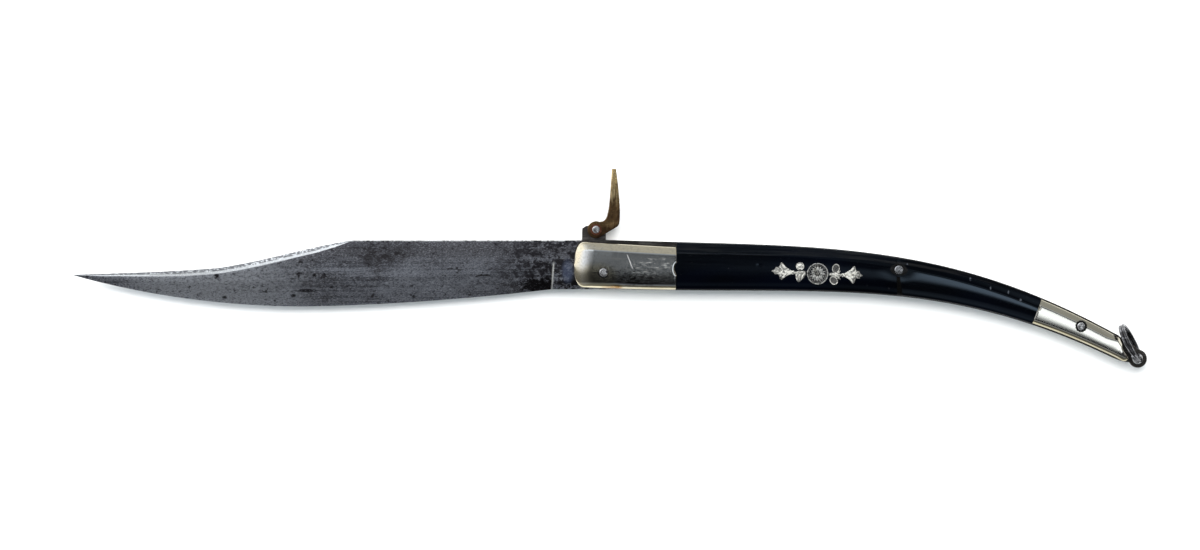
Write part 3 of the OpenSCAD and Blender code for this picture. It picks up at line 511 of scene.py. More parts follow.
def bolster_section(s):
    top = half(s) - look(s, [(FRONT, 0.9), (BOLSTER_REAR, 2.0)])
    bottom = 0.15 - half(s)
    middle = (top + bottom) / 2
    full = fullness((FRONT + NOSE - s) / NOSE)
    rise = 0.4 + 0.6 * math.sin(math.pi / 2 * min(1, (s - FRONT) / 7))
    crown = look(s - FRONT, [(0, 0.2), (7, 0.1), (14, 0.075)])
    return section(middle + full * (top - middle), middle + full * (bottom - middle), rise * OUT,
                   3.0, 1.5, crown, 0.97)


def bolster(side, word):
    def share(v):
        return v ** 1.6

    def shape(s, n, h, v):
        if share(v) > 0.9:
            s -= bite(n, -1.1, 4.6, 0.9) * (share(v) - 0.9) / 0.1
        return s, pressed(h, s, n, LEFT_DENTS if side > 0 else ())

    bm = covering(side, 56, 84, bolster_section, lambda v: FRONT + share(v) * (BOLSTER_REAR - FRONT), shape)
    rear = [e for e in bm.edges if min(v.co.x for v in e.verts) > BOLSTER_REAR - 3]
    bevel(bm, [e for e in rear if e.calc_face_angle(0) > SHARP], 0.2, 2)
    name = "bolster_" + word
    obj = finish(bm, name + "_shell", [bolster_metal.mat], "handle", name)

    def pocket(bm):
        for r, z0 in ((PIVOT_R + 0.05, SKIN - 0.5), (PIVOT_RING_R + 0.1, MID - 0.5)):
            plate(bm, circle(PIVOT, r, 48), *sorted((MID + side * z0, MID + side * (MID + 0.5))))
    cut(obj, pocket)


SIDES = ((1, "left"), (-1, "right"))
for side, word in SIDES:
    bolster(side, word)

# %% [markdown]
# ## Horn
# The scales are black horn: a faint blue sheen, a scratched facet along the back, and one streak of light
# on the rear scale's face. Black needs almost no base colour, so the specular level carries the look, by
# where a face is and which way it looks. The small nicks are a lighter colour in the black.

# %% Horn
FACET_FROM = 0.0043
NICKS = [(137.1, -2.5, 0.35, 2.0), (144.6, -5.8, 0.3, 2.2), (151.3, -7.3, 0.35, 2.0),
         (155.8, -10.3, 0.5, 1.0), (113.5, 3.1, 0.3, 1.0)]


def horn():
    g = Graph("horn", (0.0003, 0.0004, 0.0008), 0.0, 0.14, Specular_Tint=(0.6, 0.78, 1.0, 1))
    streaks = g.noise((28, 900, 1), 6, 0.72, 0.3, uv=True)
    fine = g.noise((700, 900, 700), 6, 0.6)
    blue = g.noise((20, 60, 1), 2, 0.5, uv=True)
    place = g.axes(g.space(uv=True))
    facing = g.axes(g.coords.outputs["Normal"])["Y"]
    facet = g.range(place["Y"], FACET_FROM, FACET_FROM + 0.0005)
    g.tint(g.range(blue, 0.4, 0.7), (0.0004, 0.0009, 0.003), 0.6)
    g.tint(g.times(facet, g.range(streaks, 0.45, 0.65)), (0.006, 0.0058, 0.006))
    g.tint(g.range(fine, 0.68, 0.74), (0.02, 0.02, 0.022), 0.5)
    g.feed(Roughness=g.math("ADD", g.range(facet, 0, 1, 0.08, 0.26), g.range(streaks, 0.3, 0.7, 0.0, 0.05)))
    rear = g.range(place["X"], (JOINT - 1.75) * MM, (JOINT + 4.25) * MM)
    tilted = g.range(facing, 0.2, 0.35)
    face = g.times(g.range(rear, 0, 1, 0.3, 0.95), g.math("SUBTRACT", 1.0, tilted))
    slant = g.times(g.range(rear, 0, 1, 0.16, 0.05), tilted)
    belly = g.range(facing, -0.25, -0.6, 1.0, 0.05)
    g.feed(Specular_IOR_Level=g.times(belly, g.math("ADD", face, slant)))
    for x, y, r, tall in NICKS:
        nick = g.times(g.spot((x, y, 0), 0.3 * r, r, (1, 1 / tall, 0)), g.range(fine, 0.4, 0.55))
        g.tint(nick, (0.07, 0.078, 0.095), 0.8)
    g.bump(g.times(streaks, facet), 0.03, 0.6)
    g.bump(fine, 0.003, 0.3)
    return g.mat


horn_mat = horn()
print("horn: %d nicks" % len(NICKS))

# %% [markdown]
# ## Horn scales
# The front scales run from the bolster to the slanted joint, and the rear ones from the joint to the
# cap. The facet along the back has a crisp edge and the belly is round. One function makes all four,
# so that the ends at the joint fit each other.

# %% Horn scales
LEAN = 0.16
PLAY = 0.05
WORN_JOINT = [(JOINT, 2.5, 4.2, 3.2, 0.2), (JOINT - 0.9, 5.6, 1.3, 1.2, 0.25)]
FRONT_NICK = [(58.2, 0.9, 0.5, 0.25, 0.1)]
FACET_FURROWS = [(41, 4.6, 3.0, 0.18, 0.05), (62, 6.2, 5.0, 0.15, 0.05), (84, 5.4, 7.0, 0.14, 0.04)]
REAR_NICK = [(128, -6.0, 1.2, 0.3, 0.04)]


def horn_height(s):
    return look(s, [(BOLSTER_REAR, OUT - 0.3), (JOINT, 3.2), (CAP_FRONT, CAP - 0.3)])


def horn_section(s):
    rise, peak = look(s, [(104, 0.07), (118, 0.05)]), look(s, [(100, 0.5), (118, 0.28)])
    return section(half(s) - 0.2, 0.2 - half(s), horn_height(s), 3.7, 2.6, rise, 0.9, peak)


def scale(name, side, s0, s1, joint_first, rows, dents):
    """A scale from s0 to s1, with the slanted joint at its first or its last end and a notch at the other."""
    lean0, lean1 = (1, 0) if joint_first else (0, 1)

    def shape(s, n, h, v):
        s -= LEAN * n * (lean0 * max(0, 1 - v * 9) + lean1 * max(0, 1 - (1 - v) * 9))
        s -= (1 - lean0) * max(0, 1 - v * 30) * bite(n, -1.1, 4.5, 0.9)
        s += (1 - lean1) * max(0, 1 - (1 - v) * 30) * bite(n, 1.3, 2.3, 0.7)
        return s, pressed(h, s, n, dents)

    bm = covering(side, 60, rows, horn_section, lambda v: s0 + (s1 - s0) * v, shape)
    ends = [e for e in bm.edges if sum(f.calc_area() for f in e.link_faces) > 20]
    bevel(bm, [e for e in ends if e.calc_face_angle(0) > SHARP], 0.08, 1)
    finish(bm, name + "_horn", [horn_mat], "handle", name)


for side, word in SIDES:
    left = side > 0
    front_dents = FRONT_NICK + WORN_JOINT + FACET_FURROWS if left else WORN_JOINT[:1]
    rear_dents = WORN_JOINT + REAR_NICK if left else WORN_JOINT[:1]
    scale("front_scale_" + word, side, BOLSTER_REAR + PLAY, JOINT - PLAY, False, 170, front_dents)
    scale("rear_scale_" + word, side, JOINT + PLAY, CAP_FRONT - PLAY, True, 120, rear_dents)

# %% [markdown]
# ## Dark irons
# Liners, spring, washers, strips and ring are all dark, from bare iron to near black. One grainy finish
# makes them all: colour, roughness, shine and rust differ, and the grain and the fine pits stay the same.

# %% Dark irons


def iron(name, color, rough, shine, metal=0.9, rust=0.6, specular=0.5):
    g = Graph(name, color, metal, rough, Specular_IOR_Level=specular)
    grain = g.noise((120, 500, 500), 8, 0.72)
    fine = g.noise((1100, 1100, 1100), 5, 0.6)
    g.tint(g.range(grain, 0.46, 0.7), shine)
    g.tint(g.range(fine, 0.6, 0.72), (0.06, 0.032, 0.018), rust)
    g.feed(Roughness=g.range(grain, 0.3, 0.7, rough + 0.12, rough - 0.1))
    g.bump(grain, 0.05, 0.5)
    g.bump(fine, 0.02, 0.4)
    return g.mat


liner_mat = iron("liner_iron", (0.03, 0.028, 0.027), 0.4, (0.1, 0.095, 0.09))
spring_mat = iron("spring_iron", (0.05, 0.045, 0.042), 0.44, (0.15, 0.14, 0.135))
ring_mat = iron("ring_steel", (0.075, 0.075, 0.08), 0.24, (0.34, 0.34, 0.36), metal=1.0)
washer_mat = iron("dark_washer", (0.003, 0.003, 0.003), 0.4, (0.009, 0.009, 0.01),
                  metal=0.0, rust=0.0, specular=0.1)
strip_mat = iron("dark_strip", (0.0008, 0.0008, 0.0008), 0.45, (0.003, 0.0028, 0.0026),
                 metal=0.0, rust=0.0, specular=0.06)
red_mat = iron("red_washer", (0.1, 0.035, 0.02), 0.42, (0.22, 0.1, 0.06), metal=0.8)
print("irons: 6 finishes")

# %% [markdown]
# ## Joint strips
# Below the middle rivet the joint between the scales opens into a dark wedge, wider at the belly. A strip
# on each side follows the horn's own section, a hair above it, and is extruded to a thin solid.

# %% Joint strips
STRIP_TOP, STRIP_BELLY, STRIP_THICK = 1.2, 2.2, 0.15
BELLY_GAP, FOOT = 0.2, 0.2


def strips():
    bm = bmesh.new()
    line = soft(horn_section(JOINT + 1))[::-1]
    heights, rises = [p[0] for p in line], [p[1] for p in line]
    for side, _ in SIDES:
        def place(u, v):
            n = (BELLY_GAP - half(JOINT)) * (1 - u)
            s = JOINT - PLAY - LEAN * n + (STRIP_BELLY + (STRIP_TOP - STRIP_BELLY) * u) * v
            above = 0.02 + 0.03 * math.sin(math.pi * v) + 0.02 * math.sin(9 * u)
            h = float(np.interp(n, heights, rises)) + above
            x, y = at(s, n)
            return (x, y, MID + side * (SKIN + (h if u >= 0.02 else FOOT)), s, n)
        sheet(bm, 30, 6, place, closed=False)
        top = [f for f in bm.faces if (f.calc_center_median().z - MID) * side > 0]
        under = bmesh.ops.extrude_face_region(bm, geom=top, use_keep_orig=True)["geom"]
        bmesh.ops.translate(bm, verts=verts_of(under), vec=(0, 0, -STRIP_THICK * side))
    finish(bm, "joint_wedges", [strip_mat], "handle", "joint_strips")


strips()

# %% [markdown]
# ## Tail caps
# The caps taper to a slanted, rounded end over the tail. They are coverings like the bolsters: a nearly
# flat face keeps one bright plane, with a darker band under it where the section turns down to the belly,
# and their finish paints that plane light and the band dark as well.

# %% Tail caps
CAP_END = END + 4.5


def cap_section(s):
    back = half(s) - 0.65
    top = min(back, look(s, [(END - 2, back), (END, 1.9), (END + 1.26, 0.5), (CAP_END, -1.4)]))
    belly = 0.5 - half(s)
    bottom = -2 + (belly + 2) * fullness((s - CAP_END + 2.6) / 2.6)
    from_end = CAP_END - s
    rise = look(from_end, [(0, 0.5), (1.2, 0.82), (3, 0.97), (4.5, 1)])
    tall = rise * look(s, [(CAP_FRONT, CAP), (CAP_END, TAIL)])
    edge = look(from_end, [(0, 0.35), (3.5, 0.6), (11, 2.2)])
    return section(max(top, bottom + 0.8), bottom, tall, edge, 1.3, 0.03)


def cap(side, word):
    def share(v):
        return 1 - (1 - v) ** 1.7

    def shape(s, n, h, v):
        if share(v) < 0.05:
            s += bite(n, 1.3, 2.4, 0.7) * (1 - share(v) / 0.05)
        return s, h

    bm = covering(side, 52, 80, cap_section, lambda v: CAP_FRONT + share(v) * (CAP_END - CAP_FRONT), shape)
    front = [e for e in bm.edges if min(v.co.x for v in e.verts) < at(CAP_FRONT + 2.5, 4)[0]]
    bevel(bm, [e for e in front if e.calc_face_angle(0) > SHARP], 0.12, 2)
    name = "tail_cap_" + word
    finish(bm, name + "_shell", [cap_metal.mat], "handle", name)


for side, word in SIDES:
    cap(side, word)

# %% [markdown]
# ## Liners
# Each liner is an iron plate along the whole handle, and its rounded rims show as a thin dark line round
# the scales. It is filled from its outline with the three rivet holes left open, because a sheet part is
# best made flat.

# %% Liners
MIDDLE_S, MIDDLE_N = 110.2, 2.5
TAIL_PIN_S, TAIL_PIN_N = 181.2, 1.1
MIDDLE, TAIL_PIN = at(MIDDLE_S, MIDDLE_N), at(TAIL_PIN_S, TAIL_PIN_N)
MIDDLE_R, TAIL_PIN_R = 1.7, 0.9
LINER_NOSE = [(-1.3, half(END) - 0.35), (-0.3, 3), (1.2, 2), (3.4, 1.35), (5.2, 1), (5.1, -0.1), (5.3, -1.4),
              (5.9, -2.7), (4.2, -3.4), (2.2, -3.85), (0, -half(END))]


def liner_outline():
    front = FRONT - 0.15
    rounding = [front + k * NOSE for k in (0, 0.03, 0.08, 0.16, 0.28, 0.45, 0.7)]
    run = rounding + list(np.linspace(front + NOSE, END - 2.6, 60))
    side = [(s, fullness((front + NOSE - s) / NOSE) * half(s)) for s in run]
    nose = [(END + d, n) for d, n in LINER_NOSE]
    return [at(s, n) for s, n in side + nose + [(s, -n) for s, n in side[::-1]]]


for side, word in SIDES:
    bm = bmesh.new()
    holes = [circle(PIVOT, PIVOT_R + 0.05, 24), circle(MIDDLE, MIDDLE_R + 0.05, 24),
             circle(TAIL_PIN, TAIL_PIN_R + 0.05, 16)]
    low, high = sorted((MID + side * SLOT, MID + side * SKIN))
    plate(bm, liner_outline(), low, high, holes, rim=0.12)
    finish(bm, "liner_%s_plate" % word, [liner_mat], "handle", "liner_" + word)

# %% [markdown]
# ## Back spring
# The spring is one leaf in the slot along the back, with a window for the blade's tooth and a lug for the
# lever. It is a plate too. The window runs through the leaf from its back, across the way that a plate
# is extruded, so a box cuts it out afterwards.

# %% Back spring
SPRING_HALF = 1.5
KNUCKLE_R = 4.3
LUG = [(-8.35, 8.9), (-8.35, 12.0), (-8.0, 12.3), (-8.0, 16.4), (-6.6, 17.4), (-2.1, 18.1),
       (0.9, 18.1), (0.9, 12.25)]
WINDOW, WINDOW_AT = (4.0, 4.6, 1.9), (3.2, 10.7, MID)


def back_line(s, down=0.0):
    return at(s, half(s) - 0.1 - down)


def spring_outline():
    top = [back_line(s) for s in np.linspace(1.2, 107.2, 34)]
    under = [back_line(s, look(s, [(20, 3.3), (102.2, 4.9)])) for s in np.linspace(107.2, 20, 24)]
    return LUG + top + arc(MIDDLE, KNUCKLE_R, 95, -118, 22) + under[1:] + [(9.8, 8.9)]


def window(bm):
    box = bmesh.ops.create_cube(bm, size=1)["verts"]
    bmesh.ops.scale(bm, vec=WINDOW, verts=box)
    bmesh.ops.translate(bm, vec=WINDOW_AT, verts=box)


bm = bmesh.new()
plate(bm, spring_outline(), MID - SPRING_HALF, MID + SPRING_HALF, rim=0.1)
spring = finish(bm, "spring_leaf", [spring_mat], "spring", "back_spring")
cut(spring, window)

# %% [markdown]
# ## The blade's lines, and the spacer
# The spine and the edge are a few cubic curves. The spacer lies behind the spring and ends in the eye.
# Its lower side is the folded blade's edge, moved off by a clearance, so the blade always has room in the
# slot.

# %% The blade's lines, and the spacer
LEVER_PIN = np.array([-2.8, 16.0])
FOLD = math.radians(171)
EYE_R, EYE_BORE_R = 3.4, 2.0
BLADE = float(np.linalg.norm(EYE)) - EYE_R - 0.6
RICASSO, CLIP, CLIP_DIP, DEEPEST_X = 19.3, 94.5, 145, 112
SPINE_Y, HEEL_Y, DEEPEST_Y = 12.0, -6.3, -12.75
EDGE_ROOM = 0.7


def blade_spine(x):
    if x < CLIP:
        return SPINE_Y
    if x < CLIP_DIP:
        return cubic([SPINE_Y, 9.4, 3.8, 1.65], (x - CLIP) / (CLIP_DIP - CLIP))
    return cubic([1.65, 0.2, -0.3, -0.75], (x - CLIP_DIP) / (BLADE - CLIP_DIP))


def blade_edge(x):
    if x < RICASSO:
        return HEEL_Y
    if x < DEEPEST_X:
        return cubic([HEEL_Y, -9.9, -12.25, DEEPEST_Y], (x - RICASSO) / (DEEPEST_X - RICASSO))
    return cubic([DEEPEST_Y, DEEPEST_Y, -9, -1.1], (x - DEEPEST_X) / (BLADE - DEEPEST_X))


def folded(x, y):
    return (x * math.cos(FOLD) - y * math.sin(FOLD), x * math.sin(FOLD) + y * math.cos(FOLD))


def spacer_outline():
    top = [back_line(s) for s in np.linspace(115.4, END - 1.2, 26)]
    low = [folded(-x, blade_edge(x) - EDGE_ROOM) for x in np.linspace(BLADE - 4.5, 117, 26)]
    neck = math.degrees(math.atan2(*(at(END, 0) - at(END + 1, 0))[::-1]))
    return top + arc(EYE, EYE_R, neck - 72, neck - 379, 44) + [folded(3.5 - BLADE, -3.0)] + low


bm = bmesh.new()
holes = [circle(EYE, EYE_BORE_R, 32), circle(TAIL_PIN, TAIL_PIN_R + 0.05, 16)]
plate(bm, spacer_outline(), MID - SLOT, MID + SLOT, holes, rim=0.22)
finish(bm, "spacer_and_eye", [spring_mat], "handle", "tail_spacer")

# %% [markdown]
# ## Blade steel: the ground metal
# Old carbon steel is grey with brushed lines along the blade, light and dark clouds, and fine grain. A
# noise of its own size makes each of these, and each tint is laid over the ones before it. The patterns
# are made once and shared, so that stains and wear break up along the same grain.

# %% Blade steel: the ground metal


def blade_patterns(g):
    """The patterns and places that the blade's tints share."""
    place = g.axes(g.space())
    return SimpleNamespace(
        x=place["X"], y=place["Y"], below_spine=g.axes(g.space(uv=True))["Y"],
        lines=g.noise((14, 900, 300), 8, 0.78), mottle=g.noise((380, 520, 320), 8, 0.72, 0.4),
        grain=g.noise((1300, 2300, 900), 5, 0.75), clouds=g.noise((38, 70, 70), 3, 0.6, 0.8))


def ground_metal(g, p):
    g.tint(g.range(p.lines, 0.45, 0.56), (0.105, 0.11, 0.13), 0.9)
    g.tint(g.range(p.clouds, 0.5, 0.66), (0.36, 0.38, 0.44), 0.5)
    shade = g.times(g.range(p.clouds, 0.5, 0.36), g.range(p.mottle, 0.4, 0.56, 0.2, 0.7))
    g.tint(shade, (0.06, 0.057, 0.062))
    toward_tip = g.times(g.range(p.x, -0.10, -0.14), g.range(p.x, -0.185, -0.165))
    g.tint(toward_tip, (0.5, 0.52, 0.57), 0.65)
    spine = g.times(g.range(p.y, 0.001, 0.009), g.range(p.clouds, 0.3, 0.6, 0.3, 0.75))
    g.tint(spine, (0.115, 0.112, 0.125))
    g.tint(g.range(p.mottle, 0.5, 0.6), (0.075, 0.073, 0.085), 0.4)
    g.tint(g.range(p.grain, 0.53, 0.58), (0.04, 0.038, 0.044), 0.65)
    g.tint(g.range(p.grain, 0.45, 0.38), (0.6, 0.62, 0.68), 0.55)


# %% [markdown]
# ## Blade steel: stains, pits and painted highlights
# Damp has left a black stain by the bolster and small pits further out. The ground plunge line and the very
# rim of the spine catch the light, which is painted on as thin bright lines. Painted masks would need an
# image, so soft spots are broken up with the mottle.

# %% Blade steel: stains, pits and painted highlights
PLUNGE_X, PLUNGE_SLANT = -18.9, 0.075
PITS = [(-144.8, -1.4, 1.5, 0.95, 1), (-141.9, -9.3, 0.8, 1.0, 0.6), (-108.2, -1.1, 1.0, 0.97, 1),
        (-104.4, -0.6, 0.6, 0.9, 1), (-116.1, -8.7, 0.9, 0.97, 0.6), (-111.2, -6.8, 1.0, 0.9, 0.2),
        (-123.0, -10.6, 0.6, 0.9, 1), (-101.8, -5.6, 0.8, 0.8, 1), (-108.9, 4.6, 0.6, 0.8, 1),
        (-71.0, -9.0, 0.9, 0.9, 1), (-131, -5.5, 0.5, 0.8, 1), (-59, -1.2, 0.6, 0.7, 1)]


def stains(g, p):
    dark = g.noise((190, 240, 190), 4, 0.65, 0.5, shift=(3, 0, 0))
    g.tint(g.range(dark, 0.63, 0.68), (0.03, 0.027, 0.03), 0.9)
    near_bolster = g.times(g.range(p.mottle, 0.47, 0.52), g.spot((-18, 3.5, MID), 8, 24, (1, 1.3, 1)))
    g.tint(near_bolster, (0.016, 0.014, 0.017), 0.85)
    damp = g.math("ADD", g.times(p.mottle, 3.0), g.spot((-24.5, -4.8, MID), 1.0, 5.0, (0.6, 1.5, 0.2)))
    black = g.times(g.range(damp, 1.8, 2.0), g.range(p.grain, 0.36, 0.44, 0.5, 1))
    g.tint(black, (0.006, 0.005, 0.006), 0.97)
    low = g.times(g.range(p.mottle, 0.4, 0.52), g.spot((-12.5, -5.0, MID), 1.4, 2.4, (0.45, 1, 0)))
    g.tint(low, (0.008, 0.007, 0.008), 0.95)
    g.tint(g.spot((-13.4, 0.4, MID), 1.1, 1.8, (1, 0.5, 0)), (0.16, 0.2, 0.33), 0.45)


def painted_highlights(g, p):
    # Painted highlight: a ragged bright line along the ground plunge line.
    slanted = g.math("SUBTRACT", p.x, g.times(p.y, PLUNGE_SLANT))
    off = g.math("ABSOLUTE", g.math("ADD", slanted, -PLUNGE_X * MM))
    ragged = g.math("ADD", off, g.times(p.grain, 0.0007))
    plunge = g.times(g.range(ragged, 0.00045, 0.0008, 1, 0), g.range(p.y, 0.0045, 0.0025))
    g.tint(plunge, (0.9, 0.9, 0.88), 0.8)
    # Painted highlight: a thin bright line along the rim of the spine.
    rim = g.times(g.range(p.below_spine, 0.0006, 0.0002), g.range(p.mottle, 0.6, 0.45))
    g.tint(rim, (0.75, 0.76, 0.78), 0.8)


def pits(g, p):
    for x, y, r, strong, squash in PITS:
        blot = g.times(g.spot((x, y, 0), 0.35 * r, 0.6 * r, (squash, 1, 0)), g.range(p.grain, 0.34, 0.46))
        g.tint(blot, (0.012, 0.011, 0.013), strong)
    patch = g.spot((-83, 8.2, 0), 2.0, 8.0, (0.6, 1.1, 0))
    g.tint(g.times(patch, g.range(p.mottle, 0.44, 0.56, 0.15, 0.9)), (0.04, 0.037, 0.04))


def blade_steel():
    g = Graph("blade_steel", (0.25, 0.262, 0.305), 0.9, 0.42)
    p = blade_patterns(g)
    for layer in (ground_metal, stains, painted_highlights, pits):
        layer(g, p)
    g.feed(Roughness=g.range(p.mottle, 0.3, 0.7, 0.26, 0.44))
    g.bump(g.noise((260, 320, 320), 3, 0.6, 0.4), 0.06, 0.5)
    g.bump(p.lines, 0.006, 0.35)
    return g.mat


def swedge_steel():
    """Grey and pitted near the spine, and polished white along the swedge's lower line."""
    g = Graph("swedge_steel", (0.93, 0.95, 0.98), 0.95, 0.3)
    lines = g.noise((30, 700, 400), 5, 0.7)
    mottle = g.noise((900, 1300, 900), 6, 0.7)
    place = g.axes(g.space(uv=True))
    share = g.math("DIVIDE", place["Y"], place["X"])
    pitted = g.times(g.range(mottle, 0.4, 0.52), g.range(share, 0.62, 0.47))
    g.tint(pitted, (0.16, 0.16, 0.18), 0.85)
    g.tint(g.range(mottle, 0.64, 0.7), (0.3, 0.3, 0.32), 0.6)
    g.feed(Roughness=g.range(mottle, 0.3, 0.7, 0.2, 0.4))
    g.bump(lines, 0.008, 0.4)
    g.bump(g.times(mottle, g.range(share, 0.7, 0.55)), 0.02, 0.4)
    return g.mat


blade_mat, swedge_mat = blade_steel(), swedge_steel()
print("blade steel: %d pits" % len(PITS))

# %% [markdown]
# ## Blade
# The blade is forged and ground: a ricasso, a flat bevel that starts at the plunge line, a clip point and
# a swedge along its spine. It is one closed loft from the ricasso to the point. Close pairs of points on
# each ring keep the swedge and the grind line crisp under smooth shading. The tang and the locking tooth
# are plates at its root.

# %% Blade
TANG_R, TANG_HALF, TOOTH_HALF = 8.8, 1.45, 0.85
TOOTH = [(1.3, 6.8), (1.3, 10.85), (3.3, 10.6), (4.3, 7.8), (4.3, 6.8)]
SWEDGE = [(94, 0.15), (96.5, 0.9), (101, 1.7), (108, 2.3), (158, 2.3), (175, 1.6), (188, 1.0), (BLADE, 0.1)]
THICKNESS = [(29.3, 3.0), (104.5, 2.3), (BLADE, 0.7)]
SPINE_SHARE = [(93, 0.94), (101, 0.5), (106.5, 0.4), (BLADE, 0.35)]
GRIND_SHARE = [(20, 0.56), (42, 0.4), (CLIP, 0.42), (CLIP_DIP, 0.55)]


def swedge_width(x):
    return min(look(x, SWEDGE), (blade_spine(x) - blade_edge(x)) / 3)


def blade_side(x):
    """One side of the blade's section at x from the spine to the edge, as (y, z) points."""
    ground = x > RICASSO
    t = look(x, THICKNESS) / 2
    spine_t = t * look(x, SPINE_SHARE)
    top, low = blade_spine(x), blade_edge(x)
    tall = top - low
    swedge = swedge_width(x)
    grind = low + tall * look(x, GRIND_SHARE) if ground else low + 0.3
    edge = 0.15 if ground else 0.94 * t
    e = min(0.16, tall * 0.03)
    flat = top - swedge - e
    side = [(top, 0.0), (top, spine_t * 0.86), (top - 0.1 * e, spine_t)]
    side += [(flat + 2 * e, t - (t - spine_t) * e / swedge), (flat, t)]
    side += [(flat - (flat - grind - e) * k, t) for k in (0.25, 0.5, 0.75)]
    side += [(grind + e, t), (grind - e, t - (t - edge) * e / max(grind - low, 0.2))]
    for k in (0.3, 0.6, 0.85):
        hollow = 0.03 * t * math.sin(math.pi * k) * ground
        side.append((grind + (low - grind) * k, t + (edge - t) * k - hollow))
    return side + [(low + 0.02, edge), (low, 0.0)]


def blade():
    bm = bmesh.new()
    xs = [8.6, 12, 16, 19.0, RICASSO, 19.55, 19.85, 20.2, 20.8, *np.linspace(22, 94, 46),
          *np.linspace(95.2, 150, 62), *np.linspace(151, BLADE - 2, 34),
          BLADE - 1.2, BLADE - 0.5, BLADE - 0.01]
    rings = {}

    def place(u, v):
        key = round(v * (len(xs) - 1))
        x = xs[key]
        if key not in rings:
            side = blade_side(x)
            rings[key] = side + [(y, -z) for y, z in side[-2:0:-1]] + [side[0]]
        y, z = rings[key][round(u * (len(rings[key]) - 1))]
        return (-x, y, MID + z, swedge_width(x), blade_spine(x) - y)

    sheet(bm, len(blade_side(50)) * 2 - 2, len(xs) - 1, place)
    for face in bm.faces:
        c = face.calc_center_median()
        if -c.x > 88 and c.y > blade_spine(-c.x) - swedge_width(-c.x) + 0.05:
            face.material_index = 1
    round_end = [p for p in arc(PIVOT, TANG_R, 133, -45.7, 64) if p[0] > -1.9 and p[1] > HEEL_Y + 0.05]
    tang = [(-9.6, 8.6), (-6.0, 8.6), *round_end, (6.1, HEEL_Y), (-9.6, HEEL_Y)]
    plate(bm, tang, MID - TANG_HALF, MID + TANG_HALF, [circle(PIVOT, PIVOT_R + 0.1, 32)], rim=0.05)
    plate(bm, TOOTH, MID - TOOTH_HALF, MID + TOOTH_HALF, rim=0.1)
    finish(bm, "blade_forged", [blade_mat, swedge_mat], "blade", "blade", 50)


blade()

# %% [markdown]
# ## Brass
# The lever is brass gone brown, brighter towards its tip, where a thumb rubs it and where a golden highlight
# is painted on. Brown clouds and fine pits cover it, golden streaks near the tip are painted highlights
# along the brushed lines, and the rounded rims are painted darker as shade.

# %% Brass
BRIGHT_FROM = 0.024


def brass():
    g = Graph("brass", (0.16, 0.098, 0.045), 0.95, 0.34)
    cloud = g.noise((210, 150, 210), 6, 0.65, 0.4)
    lines = g.noise((1300, 90, 1300), 5, 0.7)
    fine = g.noise((1500, 1500, 1500), 4, 0.6)
    high = g.range(g.axes(g.space())["Y"], BRIGHT_FROM, BRIGHT_FROM + 0.011)
    g.tint(g.range(cloud, 0.42, 0.62), (0.075, 0.04, 0.02))
    # Painted highlight and thumb wear: the upper part, towards the tip, takes a golden tint.
    g.tint(g.times(high, g.range(cloud, 0.66, 0.4)), (0.70, 0.52, 0.25))
    g.tint(g.range(lines, 0.56, 0.7), (0.6, 0.46, 0.26), 0.35)
    # Painted highlight: golden streaks along the brushed lines near the tip.
    g.tint(g.times(high, g.range(lines, 0.5, 0.58)), (0.98, 0.78, 0.45))
    # Painted shade on the rounded rims, which turn away from the top.
    g.tint(g.range(g.axes(g.coords.outputs["Normal"])["Z"], 0.95, 0.75), (0.07, 0.04, 0.02), 0.75)
    g.tint(g.range(fine, 0.62, 0.7), (0.045, 0.025, 0.015), 0.7)
    g.feed(Roughness=g.range(cloud, 0.3, 0.7, 0.2, 0.4))
    g.bump(cloud, 0.03, 0.4)
    g.bump(lines, 0.006, 0.4)
    return g.mat


brass_mat = brass()
print("brass: %s" % brass_mat.name)

# %% [markdown]
# ## Lever
# The lever is a bar with wide roundings, narrowed towards its tip, and its foot is forked so that it
# straddles the lug. The plate gets its wide roundings first, then it is narrowed, and the fork is cut out
# of it last.

# %% Lever
LEVER_HALF, LEVER_TIP_HALF, LEVER_TOP = 3, 2.1, 38.8
LEVER_BACK = np.array([(-0.3, 19.1), (1.9, 20), (2.2, 24), (3.1, LEVER_TOP)])
LEVER_FACE = np.array([(4.7, LEVER_TOP), (6.2, 28), (6.5, 20), (5.8, 18)])
ELBOW = [(5.4, 17.3), (2.2, 15.35), (0.6, 14.4)]
FORK = [(-10, 10), (10, 10), (10, 29.5), (2.3, 17.35), (1.1, 18.2), (1.1, 24), (-10, 24)]


def lever():
    steps = np.linspace(0, 1, 22)
    back, face = ([cubic(line, t) for t in steps] for line in (LEVER_BACK, LEVER_FACE))
    foot = arc(LEVER_PIN, 3.2, -68, -292, 34)
    bm = bmesh.new()
    outline = foot + back + [(3.9, LEVER_TOP)] + face + ELBOW
    plate(bm, outline, MID - LEVER_HALF, MID + LEVER_HALF, rim=0.4, segments=3)
    for vert in bm.verts:
        wide = look(vert.co.y, [(24, LEVER_HALF), (39.3, LEVER_TIP_HALF)])
        vert.co.z = MID + (vert.co.z - MID) * wide / LEVER_HALF
    obj = finish(bm, "lever_forged", [brass_mat], "lever", "lever", 60)
    cut(obj, lambda bm: plate(bm, FORK, MID - SLOT, MID + SLOT))


lever()

# %% [markdown]
# ## Rivets and pins
# The rivets are peened, and their ends show hammer marks in brighter steel. Each is a profile spun round
# its axis, with a few random dimples pressed into its face. A plain cylinder would have no rounded rim to
# catch the light.

# %% Rivets and pins


